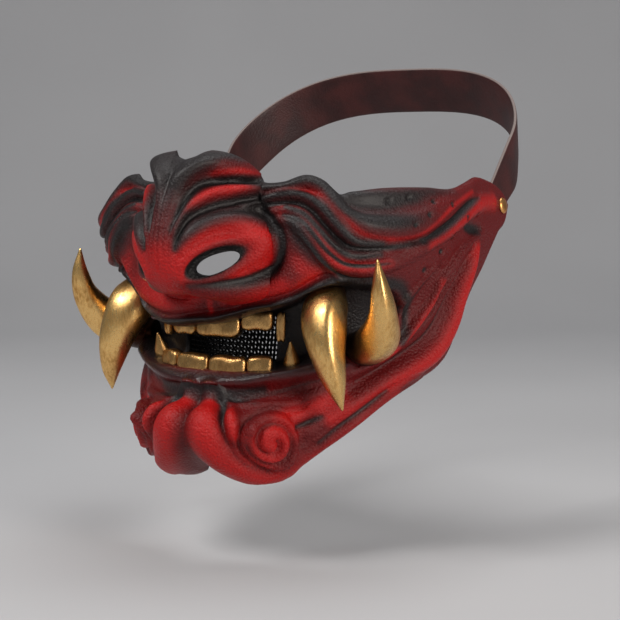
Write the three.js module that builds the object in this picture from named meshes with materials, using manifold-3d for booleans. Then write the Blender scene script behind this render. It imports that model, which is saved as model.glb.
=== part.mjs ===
// A samurai face guard: a half mask in the form of a snarling demon's lower face, from the bridge of the
// nose to the chin. One thin cast shell carries four tusks, two rows of teeth and a breathing mesh, and a
// leather strap riveted to its two ear tabs holds it on the head.
//
// Frame: millimetres, +Z up, the face looks along -Y and the wearer's left is +X. The origin is the middle
// of the head, level with the two strap rivets.
//
// The shell is worked out on a sheet wrapped round the head. A point of the sheet is (u, v): u is the way
// round from the middle of the face, with one degree of turn to every DEGREE millimetres, and v is the height.
import * as THREE from "three";
import { mergeVertices } from "three/addons/utils/BufferGeometryUtils.js";
import Module from "manifold-3d";

const wasm = await Module();
wasm.setup();

// ---------------------------------------------------------------- driving dimensions
const DEGREE = 1.88; // sheet millimetres for one degree round the head
const WALL = 3; // thickness of the cast shell
const GAP = 0.3; // clearance between neighbouring pieces
const SMOOTH = 0.02; // slivers left by the cuts are closed up within this
const BACK_DEPTH = 100; // half depth of the sections behind the ears
const TAB_END = 193.5; // u where the ear tab ends
const RIVET_U = 184; // u of the strap rivet, at v = 0
const RIVET_RADIUS = 3.8;
const SHANK_RADIUS = 2;
const RIVET_DOME = 1.8; // height of the rivet's head
const WASHER = 1.2; // thickness of the washer inside
const STRAP = {
  width: 25,
  endWidth: 16, // round end under the ear tab
  thickness: 2,
  tilt: THREE.MathUtils.degToRad(40), // the loop rises towards the back of the head
  reach: 92, // from the rivets' line to the back of the head, along the tilt
  square: 2.9,
  lean: -0.22, // how far the upper edge leans in for each millimetre of width
  clearance: 0.6, // to the tab's curved inner wall
  flatTo: 24, // it lies flat on the tab's line up to here
  samples: 60,
  sections: 34,
};
const MESH = { half: 46, bottom: -69, top: -47, thickness: 1, steps: 14 };
const DRILL = { front: 155, mouthBack: 60, noseBack: 90 }; // how far forward the openings' cutters reach
const SLOT = { half: 29, top: -52.5, bottom: -66.5, topLeft: -48.5, topRight: -55.5, endBottom: -61, bulge: 5 };

// Tusks from root to tip, on the wearer's left; the other side mirrors them.
const UPPER_TUSK = [
  { x: 47.6, y: -86, z: -38, radius: 8 },
  { x: 49.2, y: -90, z: -40, radius: 9.3 },
  { x: 52, y: -97, z: -47, radius: 9.8 },
  { x: 56, y: -101, z: -60, radius: 7.6 },
  { x: 59.5, y: -100.5, z: -73, radius: 4.6 },
  { x: 61.5, y: -98, z: -84, radius: 0.4 },
];
const LOWER_TUSK = [
  { x: 58, y: -65.5, z: -58.5, radius: 7.6 },
  { x: 62.5, y: -69.5, z: -58.8, radius: 9 },
  { x: 69, y: -76, z: -58.5, radius: 9.4 },
  { x: 75.5, y: -86, z: -55, radius: 9.2 },
  { x: 79.5, y: -94.5, z: -43, radius: 7.4 },
  { x: 79.6, y: -98, z: -31, radius: 4.4 },
  { x: 78.5, y: -99, z: -19.5, radius: 0.4 },
];
const FANG = [
  { x: 33.3, y: -92.5, z: -69.5, radius: 3 },
  { x: 34.6, y: -95, z: -64, radius: 2.8 },
  { x: 35.2, y: -97.5, z: -57.5, radius: 0.5 },
];
// Pillow teeth: middle on the sheet, depth below the plain head form, and half sizes.
const TEETH = [
  { name: "upper_tooth", sides: [0], u: 0, v: -51, depth: 8.5, across: 12.4, tall: 5, thick: 4 },
  { name: "upper_tooth", sides: [1], u: 21.2, v: -48.2, depth: 8.5, across: 7.8, tall: 4.2, thick: 4 },
  { name: "upper_tooth", sides: [-1], u: 21.2, v: -51.8, depth: 8.5, across: 7.8, tall: 4.2, thick: 4 },
  { name: "upper_peg", sides: [-1, 1], u: 33.2, v: -50.5, depth: 6, across: 2.2, tall: 6.5, thick: 2.4 },
  { name: "lower_tooth_inner", sides: [-1, 1], u: 9.7, v: -67.9, depth: 3, across: 9, tall: 3.5, thick: 3.2 },
  { name: "lower_tooth_outer", sides: [-1, 1], u: 24.6, v: -67, depth: 3, across: 5.2, tall: 3.2, thick: 3 },
];

// Horizontal sections of the face: half width, half depth and how square the section is.
const SECTIONS = [
  { z: -120, width: 58, depth: 107, square: 2.25 },
  { z: -95, width: 68, depth: 114, square: 2.25 },
  { z: -70, width: 75, depth: 110, square: 2.2 },
  { z: -55, width: 78, depth: 108, square: 2.25 },
  { z: -40, width: 81, depth: 107, square: 2.45 },
  { z: -25, width: 85, depth: 109, square: 3.1 },
  { z: -12, width: 86, depth: 111, square: 3.5 },
  { z: 0, width: 85, depth: 110, square: 3.2 },
  { z: 10, width: 83, depth: 108, square: 2.8 },
  { z: 22, width: 81, depth: 107, square: 2.5 },
  { z: 40, width: 80, depth: 105, square: 2.4 },
];

// The outline of the mask on the sheet.
const TOP_EDGE = [
  { u: 0, v: 21.5 }, { u: 5, v: 23 }, { u: 10, v: 25.5 }, { u: 15, v: 23 }, { u: 20, v: 18 },
  { u: 26, v: 12 }, { u: 36, v: 11.5 }, { u: 45, v: 14.5 }, { u: 53, v: 12 }, { u: 58, v: 7.5 },
  { u: 64, v: 8 }, { u: 81, v: 9.5 }, { u: 105, v: 9.5 }, { u: 126, v: 8.5 }, { u: 143, v: 11 },
  { u: 158, v: 13.5 }, { u: 173, v: 12 }, { u: 184, v: 9.5 }, { u: 190, v: 6.5 }, { u: 193.5, v: 2 },
];
const BOTTOM_EDGE = [
  { u: 0, v: -111 }, { u: 6, v: -114 }, { u: 11, v: -117 }, { u: 24, v: -119 }, { u: 38, v: -114.5 },
  { u: 43, v: -110 }, { u: 55, v: -101 }, { u: 68, v: -92.5 }, { u: 83, v: -85 }, { u: 101, v: -79.5 },
  { u: 120, v: -76 }, { u: 132, v: -71.5 }, { u: 138, v: -66 }, { u: 145, v: -54 }, { u: 150, v: -43 },
  { u: 156, v: -34 }, { u: 164, v: -24 }, { u: 177, v: -13.5 }, { u: 186, v: -9.5 }, { u: 193.5, v: -2 },
];

// Height, forward reach and half width of the nose. The steep rows at the foot are its underside.
const NOSE = [
  { v: -40, reach: 0, width: 19 },
  { v: -37, reach: 2, width: 23 },
  { v: -34.5, reach: 11, width: 26.5 },
  { v: -32, reach: 24, width: 29 },
  { v: -28, reach: 30.5, width: 30.5 },
  { v: -22, reach: 33.5, width: 31.5 },
  { v: -15, reach: 34.5, width: 31.5 },
  { v: -8, reach: 34, width: 30 },
  { v: 0, reach: 31.5, width: 27.5 },
  { v: 8, reach: 29, width: 25 },
  { v: 16, reach: 27.5, width: 22.5 },
  { v: 30, reach: 25, width: 20 },
];
const NOSE_ROUND = 0.9; // under 1 the nose is full, with a crease where it meets the cheek
const NOSE_TIP = 34; // reach at which the nose droops by NOSE_DROOP
const NOSE_DROOP = 4; // how far the nose's tip hangs below its root
const CHIN = [
  { v: -116, reach: 2 },
  { v: -108, reach: 6 },
  { v: -100, reach: 9 },
  { v: -90, reach: 8 },
  { v: -83, reach: 3 },
  { v: -77, reach: 0 },
];

// The mouth: a pocket between the upper lip and the gum that runs back round both tusks.
const MOUTH_DEPTH = 13;
const POCKET_MARGIN = 5; // the inner wall goes round the pocket this much wider
const MOUTH_END = 93;
const LIP = [
  { u: 0, v: -48.8 }, { u: 6, v: -47.8 }, { u: 13, v: -46 }, { u: 21, v: -43.4 }, { u: 32, v: -40.8 },
  { u: 40, v: -37.8 }, { u: 46, v: -34.5 }, { u: 54, v: -31.5 }, { u: 66, v: -31 }, { u: 78, v: -32 },
  { u: 87, v: -36 }, { u: 93, v: -44 },
];
// The lip is lifted in a snarl on the wearer's left, and sags between these marks on the right.
const SAG = { depth: 9, from: -2, full: 28, until: 40, end: 50 };
const GUM = [
  { u: 0, v: -70 }, { u: 20, v: -70 }, { u: 30, v: -69.5 }, { u: 41, v: -67.5 }, { u: 50, v: -65 },
  { u: 62, v: -62 }, { u: 75, v: -61 }, { u: 85, v: -57 }, { u: 93, v: -45 },
];
const LIP_RISE = 4; // both lips stand this far out of the face
const CREASE = 3; // depth of the fold under the lower lip
const LOWER_LIP = [
  { u: 0, v: -74.5 }, { u: 16, v: -74 }, { u: 29, v: -71.5 }, { u: 43, v: -68.5 }, { u: 53, v: -66.5 },
  { u: 72, v: -67 },
];
// Where the rows of the grid run between the outline's edges, so that they follow the mouth and the nose.
const GUIDES = [
  { u: 0, gum: -70, lip: -47, noseFoot: -34.5 },
  { u: 20, gum: -70, lip: -42.5, noseFoot: -33.5 },
  { u: 38, gum: -68, lip: -38.5, noseFoot: -30 },
  { u: 50, gum: -65, lip: -32.5, noseFoot: -25 },
  { u: 62, gum: -62, lip: -31, noseFoot: -26.5 },
  { u: 75, gum: -61, lip: -31.5, noseFoot: -28 },
  { u: 86, gum: -56.5, lip: -35.5, noseFoot: -27 },
  { u: 104, gum: -52, lip: -34, noseFoot: -20 },
  { u: 125, gum: -44, lip: -22, noseFoot: -11 },
  { u: 150, gum: -27, lip: -12, noseFoot: -3 },
  { u: 170, gum: -11, lip: -5, noseFoot: 2 },
  { u: 193.5, gum: -1, lip: 0, noseFoot: 1 },
];

// Raised strands of the face, each a smooth line on the sheet with a half width and a height.
const STRANDS = [
  { width: 5.6, height: 4, line: [[22, 8], [35, 9.5], [46, 12], [56, 7], [64, -3], [74, -8], [98, -7.5], [130, 3], [160, 7]] },
  { width: 5.2, height: 3.4, line: [[30, 1], [44, 2], [53, -7], [62, -15], [72, -18.5], [86, -18.5]] },
  { width: 5.2, height: 3.2, line: [[86, -19], [97, -16], [115, -10], [136, -2], [160, 2], [180, 2]] },
  { width: 5.2, height: 3.6, line: [[152, -13], [131, -16], [116, -24], [107, -31], [104, -45], [97, -57], [85, -66], [70, -70.5], [50, -76]] },
  { width: 8.5, height: 4.5, line: [[150, -20], [145, -34], [139, -48], [131, -60], [114, -69], [94, -74.5], [76, -81.5], [59, -90], [46, -98]] },
  { width: 8, height: 6, line: [[104, -77], [89, -80], [75, -87.5], [62, -95], [50, -104], [40, -112], [29, -115.5], [18, -110], [10, -101], [4.5, -91], [3, -82]] },
  { width: 6, height: 4, line: [[3, 2], [4, 12], [10, 20], [16, 21], [22, 14]] },
  { width: 5, height: 3, line: [[8, -4], [12, 5], [20, 9.5], [27, 7]] },
  { width: 5.5, height: 3, line: [[10, -11], [18, -5], [26, -2], [33, -7], [35, -15]] },
];

const SWIRL = { u: 31.5, v: -99.5, radius: 14, height: 5, pitch: 6.5, groove: 2.4 };
const NOSTRIL_DROP = 2.8; // the nostrils hang this far with the nose's tip
const NOSTRIL = {
  u: 18.5,
  v: -18.7,
  half: 9,
  narrow: 4.4,
  turn: THREE.MathUtils.degToRad(30),
  dip: 6, // how deep the hollow round it is
  drilled: 0.86, // share of the hollow that goes right through
};

// Rows of the grid: how many lie in each band from the bottom edge to the top, and every how many the
// smoother inner wall keeps.
const BANDS = [
  { rows: 9, innerStep: 3 },
  { rows: 7, innerStep: 2 },
  { rows: 4, innerStep: 2 },
  { rows: 10, innerStep: 3 },
];
const FRONT_U = 60; // columns are closer together between the middle and here
const FRONT_COLUMNS = 17;
const SIDE_COLUMNS = 18;

// ---------------------------------------------------------------- curves and profiles
const { clamp, lerp } = THREE.MathUtils;

// A smooth curve through a table's rows: cubic between rows, with the slope at each taken from its neighbours.
function curve(rows, from, to) {
  const x = rows.map((row) => row[from]);
  const y = rows.map((row) => row[to]);
  const last = x.length - 1;
  const slope = x.map((_, i) => {
    const a = Math.max(i - 1, 0);
    const b = Math.min(i + 1, last);
    return (y[b] - y[a]) / (x[b] - x[a]);
  });
  return (at) => {
    const p = clamp(at, x[0], x[last]);
    let i = 0;
    while (i < last - 1 && p > x[i + 1]) i += 1;
    const h = x[i + 1] - x[i];
    const t = (p - x[i]) / h;
    return (
      (1 + 2 * t) * (1 - t) ** 2 * y[i] + t * (1 - t) ** 2 * h * slope[i] +
      t * t * (3 - 2 * t) * y[i + 1] + t * t * (t - 1) * h * slope[i + 1]
    );
  };
}

const step = (from, to, x) => THREE.MathUtils.smoothstep(x, from, to);
const bell = (x, width) => Math.exp(-((x / width) ** 2));

const sectionWidth = curve(SECTIONS, "z", "width");
const sectionDepth = curve(SECTIONS, "z", "depth");
const sectionSquare = curve(SECTIONS, "z", "square");
const topEdge = curve(TOP_EDGE, "u", "v");
const bottomEdge = curve(BOTTOM_EDGE, "u", "v");
const noseReach = curve(NOSE, "v", "reach");
const noseWidth = curve(NOSE, "v", "width");
const chinReach = curve(CHIN, "v", "reach");
const lipHeight = curve(LIP, "u", "v");
const gumLine = curve(GUM, "u", "v");
const lowerLipLine = curve(LOWER_LIP, "u", "v");
const guides = ["gum", "lip", "noseFoot"].map((name) => curve(GUIDES, "u", name));

const sag = (u) => SAG.depth * step(SAG.from, SAG.full, -u) * (1 - step(SAG.until, SAG.end, -u));
const lipLine = (u) => lipHeight(Math.abs(u)) - sag(u);

// A point of the plain head form at (u, v), and the level direction out of it.
function headForm(u, v) {
  const turn = THREE.MathUtils.degToRad(u / DEGREE);
  const sine = Math.sin(turn);
  const cosine = Math.cos(turn);
  const width = sectionWidth(v);
  const depth = cosine > 0 ? sectionDepth(v) : BACK_DEPTH;
  const power = sectionSquare(v);
  const radius = (Math.abs(sine / width) ** power + Math.abs(cosine / depth) ** power) ** (-1 / power);
  const point = new THREE.Vector3(radius * sine, -radius * cosine, v);
  const out = new THREE.Vector3(
    (Math.sign(point.x) * Math.abs(point.x / width) ** (power - 1)) / width,
    (Math.sign(point.y) * Math.abs(point.y / depth) ** (power - 1)) / depth,
    0,
  ).normalize();
  return { point, out };
}

// The nearest gap from (u, v) to a line on the sheet, and the share of the line passed there.
function nearest(line, u, v) {
  let gap = Infinity;
  let along = 0;
  for (let i = 0; i < line.length - 1; i += 1) {
    const a = line[i];
    const b = line[i + 1];
    const du = b.x - a.x;
    const dv = b.y - a.y;
    const t = clamp(((u - a.x) * du + (v - a.y) * dv) / (du * du + dv * dv), 0, 1);
    const d = Math.hypot(u - a.x - t * du, v - a.y - t * dv);
    if (d < gap) {
      gap = d;
      along = (i + t) / (line.length - 1);
    }
  }
  return { gap, along };
}

const smoothLine = (points) =>
  new THREE.SplineCurve(points.map(([u, v]) => new THREE.Vector2(u, v))).getPoints(4 * points.length);
const strands = STRANDS.map((strand) => ({ ...strand, line: smoothLine(strand.line) }));

function strandRelief(u, v) {
  let relief = 0;
  for (const { width, height, line } of strands) {
    const { gap, along } = nearest(line, u, v);
    const fade = step(0, 0.1, along) * step(0, 0.1, 1 - along);
    if (gap < width) relief += height * (1 - (gap / width) ** 2) ** 1.5 * fade;
  }
  return relief;
}

// How far the mouth's pocket lies below the face at (u, v); margin widens it. It is shallower past the fangs.
function pocket(u, v, margin = 0) {
  const a = Math.abs(u);
  const depth = MOUTH_DEPTH - 2.5 * step(44, 56, a);
  const inside = step(-margin, 3.5, lipLine(u) - v) * step(-margin, 3, v - gumLine(a));
  return depth * inside * (1 - step(MOUTH_END - 7, MOUTH_END + 1 + margin, a));
}

// The mound over the upper lip, the lower lip's roll and the crease under it, each fading out to the side.
function lips(u, v) {
  const a = Math.abs(u);
  const upper = bell(v - lipLine(u) - 9, 6.5) * step(2, 14, a) * (1 - step(40, 56, a));
  const toLower = v - lowerLipLine(a);
  const lower = bell(toLower, 4.2) * (1 - step(56, 74, a));
  const crease = bell(toLower + 7.5, 3.5) * (1 - step(40, 64, a));
  return LIP_RISE * (upper + lower) - CREASE * crease;
}

// The curl of the chin: a raised disc with a spiral groove.
function swirl(u, v) {
  const du = u - SWIRL.u;
  const dv = v - SWIRL.v;
  const r = Math.hypot(du, dv);
  const turn = (r / SWIRL.pitch + Math.atan2(dv, du) / (2 * Math.PI) + 1.25) % 1;
  const disc = SWIRL.height * Math.max(0, 1 - (r / (SWIRL.radius + 1)) ** 4);
  return disc - SWIRL.groove * step(0.5, 1, Math.abs(turn - 0.5) * 2) * step(1.5, 4, r) * (1 - step(10, 13, r));
}

function nose(u, v, wall = 0) {
  const across = clamp(u / (noseWidth(v) - wall * 1.3), 0, 1);
  return noseReach(v - wall * 1.15) * (1 - across ** 2) ** NOSE_ROUND;
}

// The tip's droop, which fades out up the bridge.
const droop = (bridge, v) => ((NOSE_DROOP * bridge) / NOSE_TIP) * (1 - step(-24, 0, v));

function nostrilShare(u, v) {
  const du = u - NOSTRIL.u;
  const dv = v - NOSTRIL.v;
  const along = du * Math.cos(NOSTRIL.turn) + dv * Math.sin(NOSTRIL.turn);
  const across = dv * Math.cos(NOSTRIL.turn) - du * Math.sin(NOSTRIL.turn);
  return Math.hypot(along / NOSTRIL.half, across / NOSTRIL.narrow);
}

// The mask's edges roll in towards the face, widest over the nose and under the chin.
const topRoll = (u) => 2.5 + 7 * (1 - step(18, 30, u));
const bottomRoll = (u) => 3 + 9 * (1 - step(36, 70, u));
function roll(toEdge, radius) {
  const share = clamp(1 - toEdge / radius, 0, 1);
  return radius * (1 - Math.sqrt(1 - share * share));
}

// ---------------------------------------------------------------- the shell's two faces
function outerPoint(u, v) {
  const a = Math.abs(u);
  const { point, out } = headForm(u, v);
  const bridge = nose(a, v);
  const nostrilDip = NOSTRIL.dip * (1 - step(0.7, 1.1, nostrilShare(a, v)));
  const chin = chinReach(v) * (1 - step(20, 52, a));
  const relief = lips(u, v) + strandRelief(a, v) + swirl(a, v) - pocket(u, v);
  const rolled = roll(v - bottomEdge(a), bottomRoll(a)) + roll(topEdge(a) - v, topRoll(a));
  point.addScaledVector(out, relief - rolled);
  point.y -= bridge + chin - nostrilDip;
  point.z -= droop(bridge, v);
  return point;
}

function innerPoint(u, v) {
  const a = Math.abs(u);
  const margin = Math.min(WALL, 0.4 * (topEdge(a) - bottomEdge(a)));
  const bottom = bottomEdge(a) + margin;
  const top = topEdge(a) - margin;
  const level = lerp(bottom, top, (v - bottomEdge(a)) / (topEdge(a) - bottomEdge(a)));
  const { point, out } = headForm(u, level);
  const bridge = nose(a, level, WALL);
  const chin = chinReach(level) * (1 - step(20, 46, a)) * 0.9;
  const rolled =
    roll(level - bottom, Math.max(bottomRoll(a) - WALL, 0.5)) + roll(top - level, Math.max(topRoll(a) - WALL, 0.5));
  point.addScaledVector(out, -WALL - rolled - pocket(u, level, POCKET_MARGIN));
  point.y -= bridge + chin;
  point.z -= droop(bridge, level);
  return point;
}

// ---------------------------------------------------------------- meshes and solids
// A closed geometry from vertices and triangles, turned to face outwards.
function closedGeometry(points, faces) {
  let volume = 0;
  for (const [a, b, c] of faces) volume += points[a].dot(new THREE.Vector3().crossVectors(points[b], points[c]));
  const geometry = new THREE.BufferGeometry().setFromPoints(points);
  geometry.setIndex(faces.flatMap(([a, b, c]) => (volume > 0 ? [a, b, c] : [a, c, b])));
  return geometry;
}

// Triangles between two rows of vertex numbers that may differ in length.
function zip(a, b) {
  const faces = [];
  let i = 0;
  let j = 0;
  while (i < a.length - 1 || j < b.length - 1) {
    const stepA = (i + 1) / (a.length - 1);
    const stepB = (j + 1) / (b.length - 1);
    if (j === b.length - 1 || (i < a.length - 1 && stepA <= stepB + 1e-9)) {
      faces.push([a[i], a[i + 1], b[j]]);
      i += 1;
    } else {
      faces.push([a[i], b[j + 1], b[j]]);
      j += 1;
    }
  }
  return faces;
}

// A closed solid through rings of equal length, with a fan over each end.
function loft(rings) {
  const size = rings[0].length;
  const points = rings.flat();
  const faces = [];
  for (let i = 0; i < rings.length - 1; i += 1) {
    for (let j = 0; j < size; j += 1) {
      const a = i * size + j;
      const b = i * size + ((j + 1) % size);
      faces.push([a, b, b + size], [a, b + size, a + size]);
    }
  }
  const last = (rings.length - 1) * size;
  for (let j = 1; j < size - 1; j += 1) faces.push([0, j + 1, j], [last, last + j, last + j + 1]);
  return closedGeometry(points, faces);
}

function toSolid(geometry) {
  const bare = geometry.clone();
  bare.deleteAttribute("normal");
  bare.deleteAttribute("uv");
  const merged = mergeVertices(bare, 1e-3);
  return new wasm.Manifold(
    new wasm.Mesh({
      numProp: 3,
      vertProperties: merged.attributes.position.array,
      triVerts: new Uint32Array(merged.index.array),
    }),
  );
}

function toGeometry(solid) {
  const mesh = solid.getMesh();
  const geometry = new THREE.BufferGeometry();
  geometry.setAttribute("position", new THREE.BufferAttribute(new Float32Array(mesh.vertProperties), 3));
  geometry.setIndex(new THREE.BufferAttribute(new Uint32Array(mesh.triVerts), 1));
  geometry.computeVertexNormals();
  return geometry;
}

function gridColumns() {
  const half = [];
  for (let i = 1; i <= FRONT_COLUMNS; i += 1) half.push((FRONT_U * i) / FRONT_COLUMNS);
  for (let i = 1; i <= SIDE_COLUMNS; i += 1) half.push(lerp(FRONT_U, TAB_END, i / SIDE_COLUMNS));
  return [...half.map((u) => -u).reverse(), 0, ...half];
}

// The heights of the rows in one column, closer together at the ends of each band.
function gridRows(u) {
  const a = Math.abs(u);
  const [gum, lip, noseFoot] = guides.map((guide) => guide(a));
  const marks = [bottomEdge(a), gum, lip - sag(u), noseFoot, topEdge(a)];
  const rows = [marks[0]];
  BANDS.forEach((band, k) => {
    for (let i = 1; i <= band.rows; i += 1) {
      const even = i / band.rows;
      const eased = (1 - Math.cos(Math.PI * even)) / 2;
      rows.push(lerp(marks[k], marks[k + 1], lerp(even, eased, 0.6)));
    }
  });
  return rows;
}

function innerRowNumbers() {
  const kept = [0];
  let start = 0;
  for (const band of BANDS) {
    for (let i = band.innerStep; i < band.rows; i += band.innerStep) kept.push(start + i);
    start += band.rows;
    kept.push(start);
  }
  return kept;
}

// The shell: outer and inner faces over the same columns, joined round the edge.
function shellGeometry() {
  const columns = gridColumns();
  const kept = innerRowNumbers();
  const points = [];
  const outer = [];
  const inner = [];
  for (const u of columns) {
    const rows = gridRows(u);
    outer.push(rows.map((v) => points.push(outerPoint(u, v)) - 1));
    inner.push(kept.map((j) => points.push(innerPoint(u, rows[j])) - 1));
  }
  const faces = [];
  const quads = (grid, flipped) => {
    for (let i = 0; i < grid.length - 1; i += 1) {
      for (let j = 0; j < grid[i].length - 1; j += 1) {
        const quad = [grid[i][j], grid[i + 1][j], grid[i + 1][j + 1], grid[i][j + 1]];
        if (flipped) quad.reverse();
        faces.push([quad[0], quad[1], quad[2]], [quad[0], quad[2], quad[3]]);
      }
    }
  };
  quads(outer, false);
  quads(inner, true);
  const edge = (grid, end) => grid.map((column) => column.at(end));
  const turned = (triangles) => triangles.map(([a, b, c]) => [a, c, b]);
  faces.push(...zip(outer[0], inner[0]), ...turned(zip(outer.at(-1), inner.at(-1))));
  faces.push(...turned(zip(edge(outer, 0), edge(inner, 0))), ...zip(edge(outer, -1), edge(inner, -1)));
  return closedGeometry(points, faces);
}

// ---------------------------------------------------------------- tusks, teeth and fangs
// A tapered horn along a smooth curve: `rows` are its centre line and radii from root to tip.
function horn(rows, side, sides, steps, grow = 0) {
  const path = new THREE.CatmullRomCurve3(rows.map((row) => new THREE.Vector3(side * row.x, row.y, row.z)));
  const last = rows.length - 1;
  const radii = curve(rows.map((row, i) => ({ at: i / last, radius: row.radius })), "at", "radius");
  const frames = path.computeFrenetFrames(steps);
  const rings = [];
  for (let i = 0; i <= steps; i += 1) {
    const at = i / steps;
    const t = path.getUtoTmapping(at);
    const centre = path.getPoint(t);
    if (i === 0) centre.addScaledVector(frames.tangents[0], -grow);
    if (i === steps) centre.addScaledVector(frames.tangents[steps], grow);
    const radius = radii(t) + grow;
    const ring = [];
    for (let j = 0; j < sides; j += 1) {
      const turn = (2 * Math.PI * j) / sides;
      ring.push(
        centre
          .clone()
          .addScaledVector(frames.normals[i], radius * Math.cos(turn))
          .addScaledVector(frames.binormals[i], radius * Math.sin(turn)),
      );
    }
    rings.push(ring);
  }
  return loft(rings);
}

// A pillow-shaped tooth that follows the curve of the jaw.
function pillow({ u, v, depth, across, tall, thick }, side, grow = 0) {
  const geometry = new THREE.SphereGeometry(1, 8, 6);
  const place = geometry.attributes.position;
  const square = (value, half) => Math.sign(value) * Math.abs(value) ** 0.55 * (half + grow);
  for (let i = 0; i < place.count; i += 1) {
    const level = v + square(place.getY(i), tall);
    const { point, out } = headForm(side * u + square(place.getX(i), across), level);
    point.addScaledVector(out, square(place.getZ(i), thick) - depth);
    place.setXYZ(i, point.x, point.y, point.z);
  }
  return geometry;
}

// ---------------------------------------------------------------- the mouth's mesh, the strap and the rivets
function mouthMeshGeometry() {
  const face = MOUTH_DEPTH + WALL + GAP;
  const rings = [];
  for (let i = 0; i <= MESH.steps; i += 1) {
    const u = lerp(-MESH.half, MESH.half, i / MESH.steps);
    const corner = (v, depth) => {
      const { point, out } = headForm(u, v);
      return point.addScaledVector(out, -depth);
    };
    const heights = [MESH.bottom, (MESH.bottom + MESH.top) / 2, MESH.top];
    rings.push([
      ...heights.map((v) => corner(v, face)),
      ...heights.toReversed().map((v) => corner(v, face + MESH.thickness)),
    ]);
  }
  return loft(rings);
}

// The point of an ear tab that its rivet goes through, and the way straight out of the tab there.
function rivetSeat(side) {
  const { point } = headForm(side * RIVET_U, 0);
  const round = headForm(side * (RIVET_U + 1), 0).point.sub(point);
  const up = headForm(side * RIVET_U, 1).point.sub(point);
  const out = new THREE.Vector3().crossVectors(round, up).multiplyScalar(side).normalize();
  return { point, out };
}
const strapDepth = WALL + GAP + STRAP.clearance + STRAP.thickness / 2;

// The middle line of the strap: flat against one tab, round in the tilted plane, and flat against the other.
function strapPath() {
  const { point, out } = rivetSeat(1);
  const start = point.addScaledVector(out, -strapDepth);
  const rise = new THREE.Vector3(0, Math.cos(STRAP.tilt), Math.sin(STRAP.tilt));
  const flat = rise.clone().projectOnPlane(out).normalize();
  const half = [-1, 0, 1].map((way) => start.clone().addScaledVector(flat, (way * STRAP.endWidth) / 2));
  for (let i = 1; i <= STRAP.samples; i += 1) {
    const turn = (Math.PI / 2) * (i / STRAP.samples);
    const along = STRAP.reach * Math.sin(turn) ** (2 / STRAP.square);
    const across = start.x * Math.abs(Math.cos(turn)) ** (2 / STRAP.square);
    if (along < STRAP.flatTo) continue;
    half.push(new THREE.Vector3(i === STRAP.samples ? 0 : across, start.y, start.z).addScaledVector(rise, along));
  }
  const mirrored = half.slice(0, -1).reverse().map(({ x, y, z }) => new THREE.Vector3(-x, y, z));
  return new THREE.CatmullRomCurve3([...half, ...mirrored], false, "centripetal");
}

function strapGeometry() {
  const path = strapPath();
  const length = path.getLength();
  // Sections crowd towards both ends, where the outline is round.
  const distances = [];
  for (let i = 0; i <= STRAP.sections; i += 1) {
    const even = (2 * i) / STRAP.sections - 1;
    distances.push(0.3 + (length / 2 - 0.3) * (1 + Math.sin((Math.PI / 2) * even) * 0.62 + even * 0.38));
  }
  const upright = new THREE.Vector3(0, -Math.sin(STRAP.tilt), Math.cos(STRAP.tilt));
  const rings = distances.map((distance) => {
    const centre = path.getPointAt(distance / length);
    const tangent = path.getTangentAt(distance / length);
    const out = new THREE.Vector3().crossVectors(tangent, upright).normalize();
    const toEnd = Math.min(distance, length - distance);
    const round = STRAP.endWidth / 2;
    const end = Math.sqrt(Math.max(0, 1 - (Math.max(0, round - toEnd) / round) ** 2));
    const half = (end * lerp(STRAP.endWidth, STRAP.width, step(2 * round, 45, toEnd))) / 2;
    const flat = upright.clone().projectOnPlane(rivetSeat(centre.x < 0 ? -1 : 1).out);
    const leaning = upright.clone().addScaledVector(out, -STRAP.lean);
    const across = flat.lerp(leaning, step(2 * round, 60, toEnd)).normalize();
    const through = new THREE.Vector3().crossVectors(tangent, across).normalize();
    const corner = (a, b) =>
      centre.clone().addScaledVector(across, a * half).addScaledVector(through, (b * STRAP.thickness) / 2);
    return [corner(-1, -1), corner(1, -1), corner(1, 1), corner(-1, 1)];
  });
  return loft(rings);
}

// A solid turned about the line that points out of the head through a rivet.
function onRivetLine(profile, side) {
  const geometry = new THREE.LatheGeometry(profile.map(([radius, out]) => new THREE.Vector2(radius, out)), 12);
  const { point, out } = rivetSeat(side);
  geometry.applyQuaternion(new THREE.Quaternion().setFromUnitVectors(new THREE.Vector3(0, 1, 0), out));
  geometry.translate(point.x, point.y, point.z);
  return geometry;
}

function rivetGeometry(side) {
  const washer = -strapDepth - STRAP.thickness / 2 - GAP;
  return onRivetLine(
    [
      [0, washer - WASHER],
      [RIVET_RADIUS, washer - WASHER],
      [RIVET_RADIUS, washer],
      [SHANK_RADIUS, washer],
      [SHANK_RADIUS, GAP],
      [RIVET_RADIUS, GAP],
      [RIVET_RADIUS, GAP + RIVET_DOME * 0.3],
      [RIVET_RADIUS * 0.6, GAP + RIVET_DOME * 0.85],
      [0, GAP + RIVET_DOME],
    ],
    side,
  );
}

// A bore for a rivet's shank, from well inside the strap to well outside the tab.
function rivetHole(side) {
  const radius = SHANK_RADIUS + GAP;
  return toSolid(onRivetLine([[0, -14], [radius, -14], [radius, 8], [0, 8]], side));
}

// ---------------------------------------------------------------- openings in the shell
// A prism through the face from a shape drawn as seen from the front.
function throughFace(shape, near, far) {
  const geometry = new THREE.ExtrudeGeometry(shape, { depth: near - far, bevelEnabled: false, curveSegments: 9 });
  geometry.rotateX(Math.PI / 2);
  geometry.translate(0, -far, 0);
  return toSolid(geometry);
}

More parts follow.
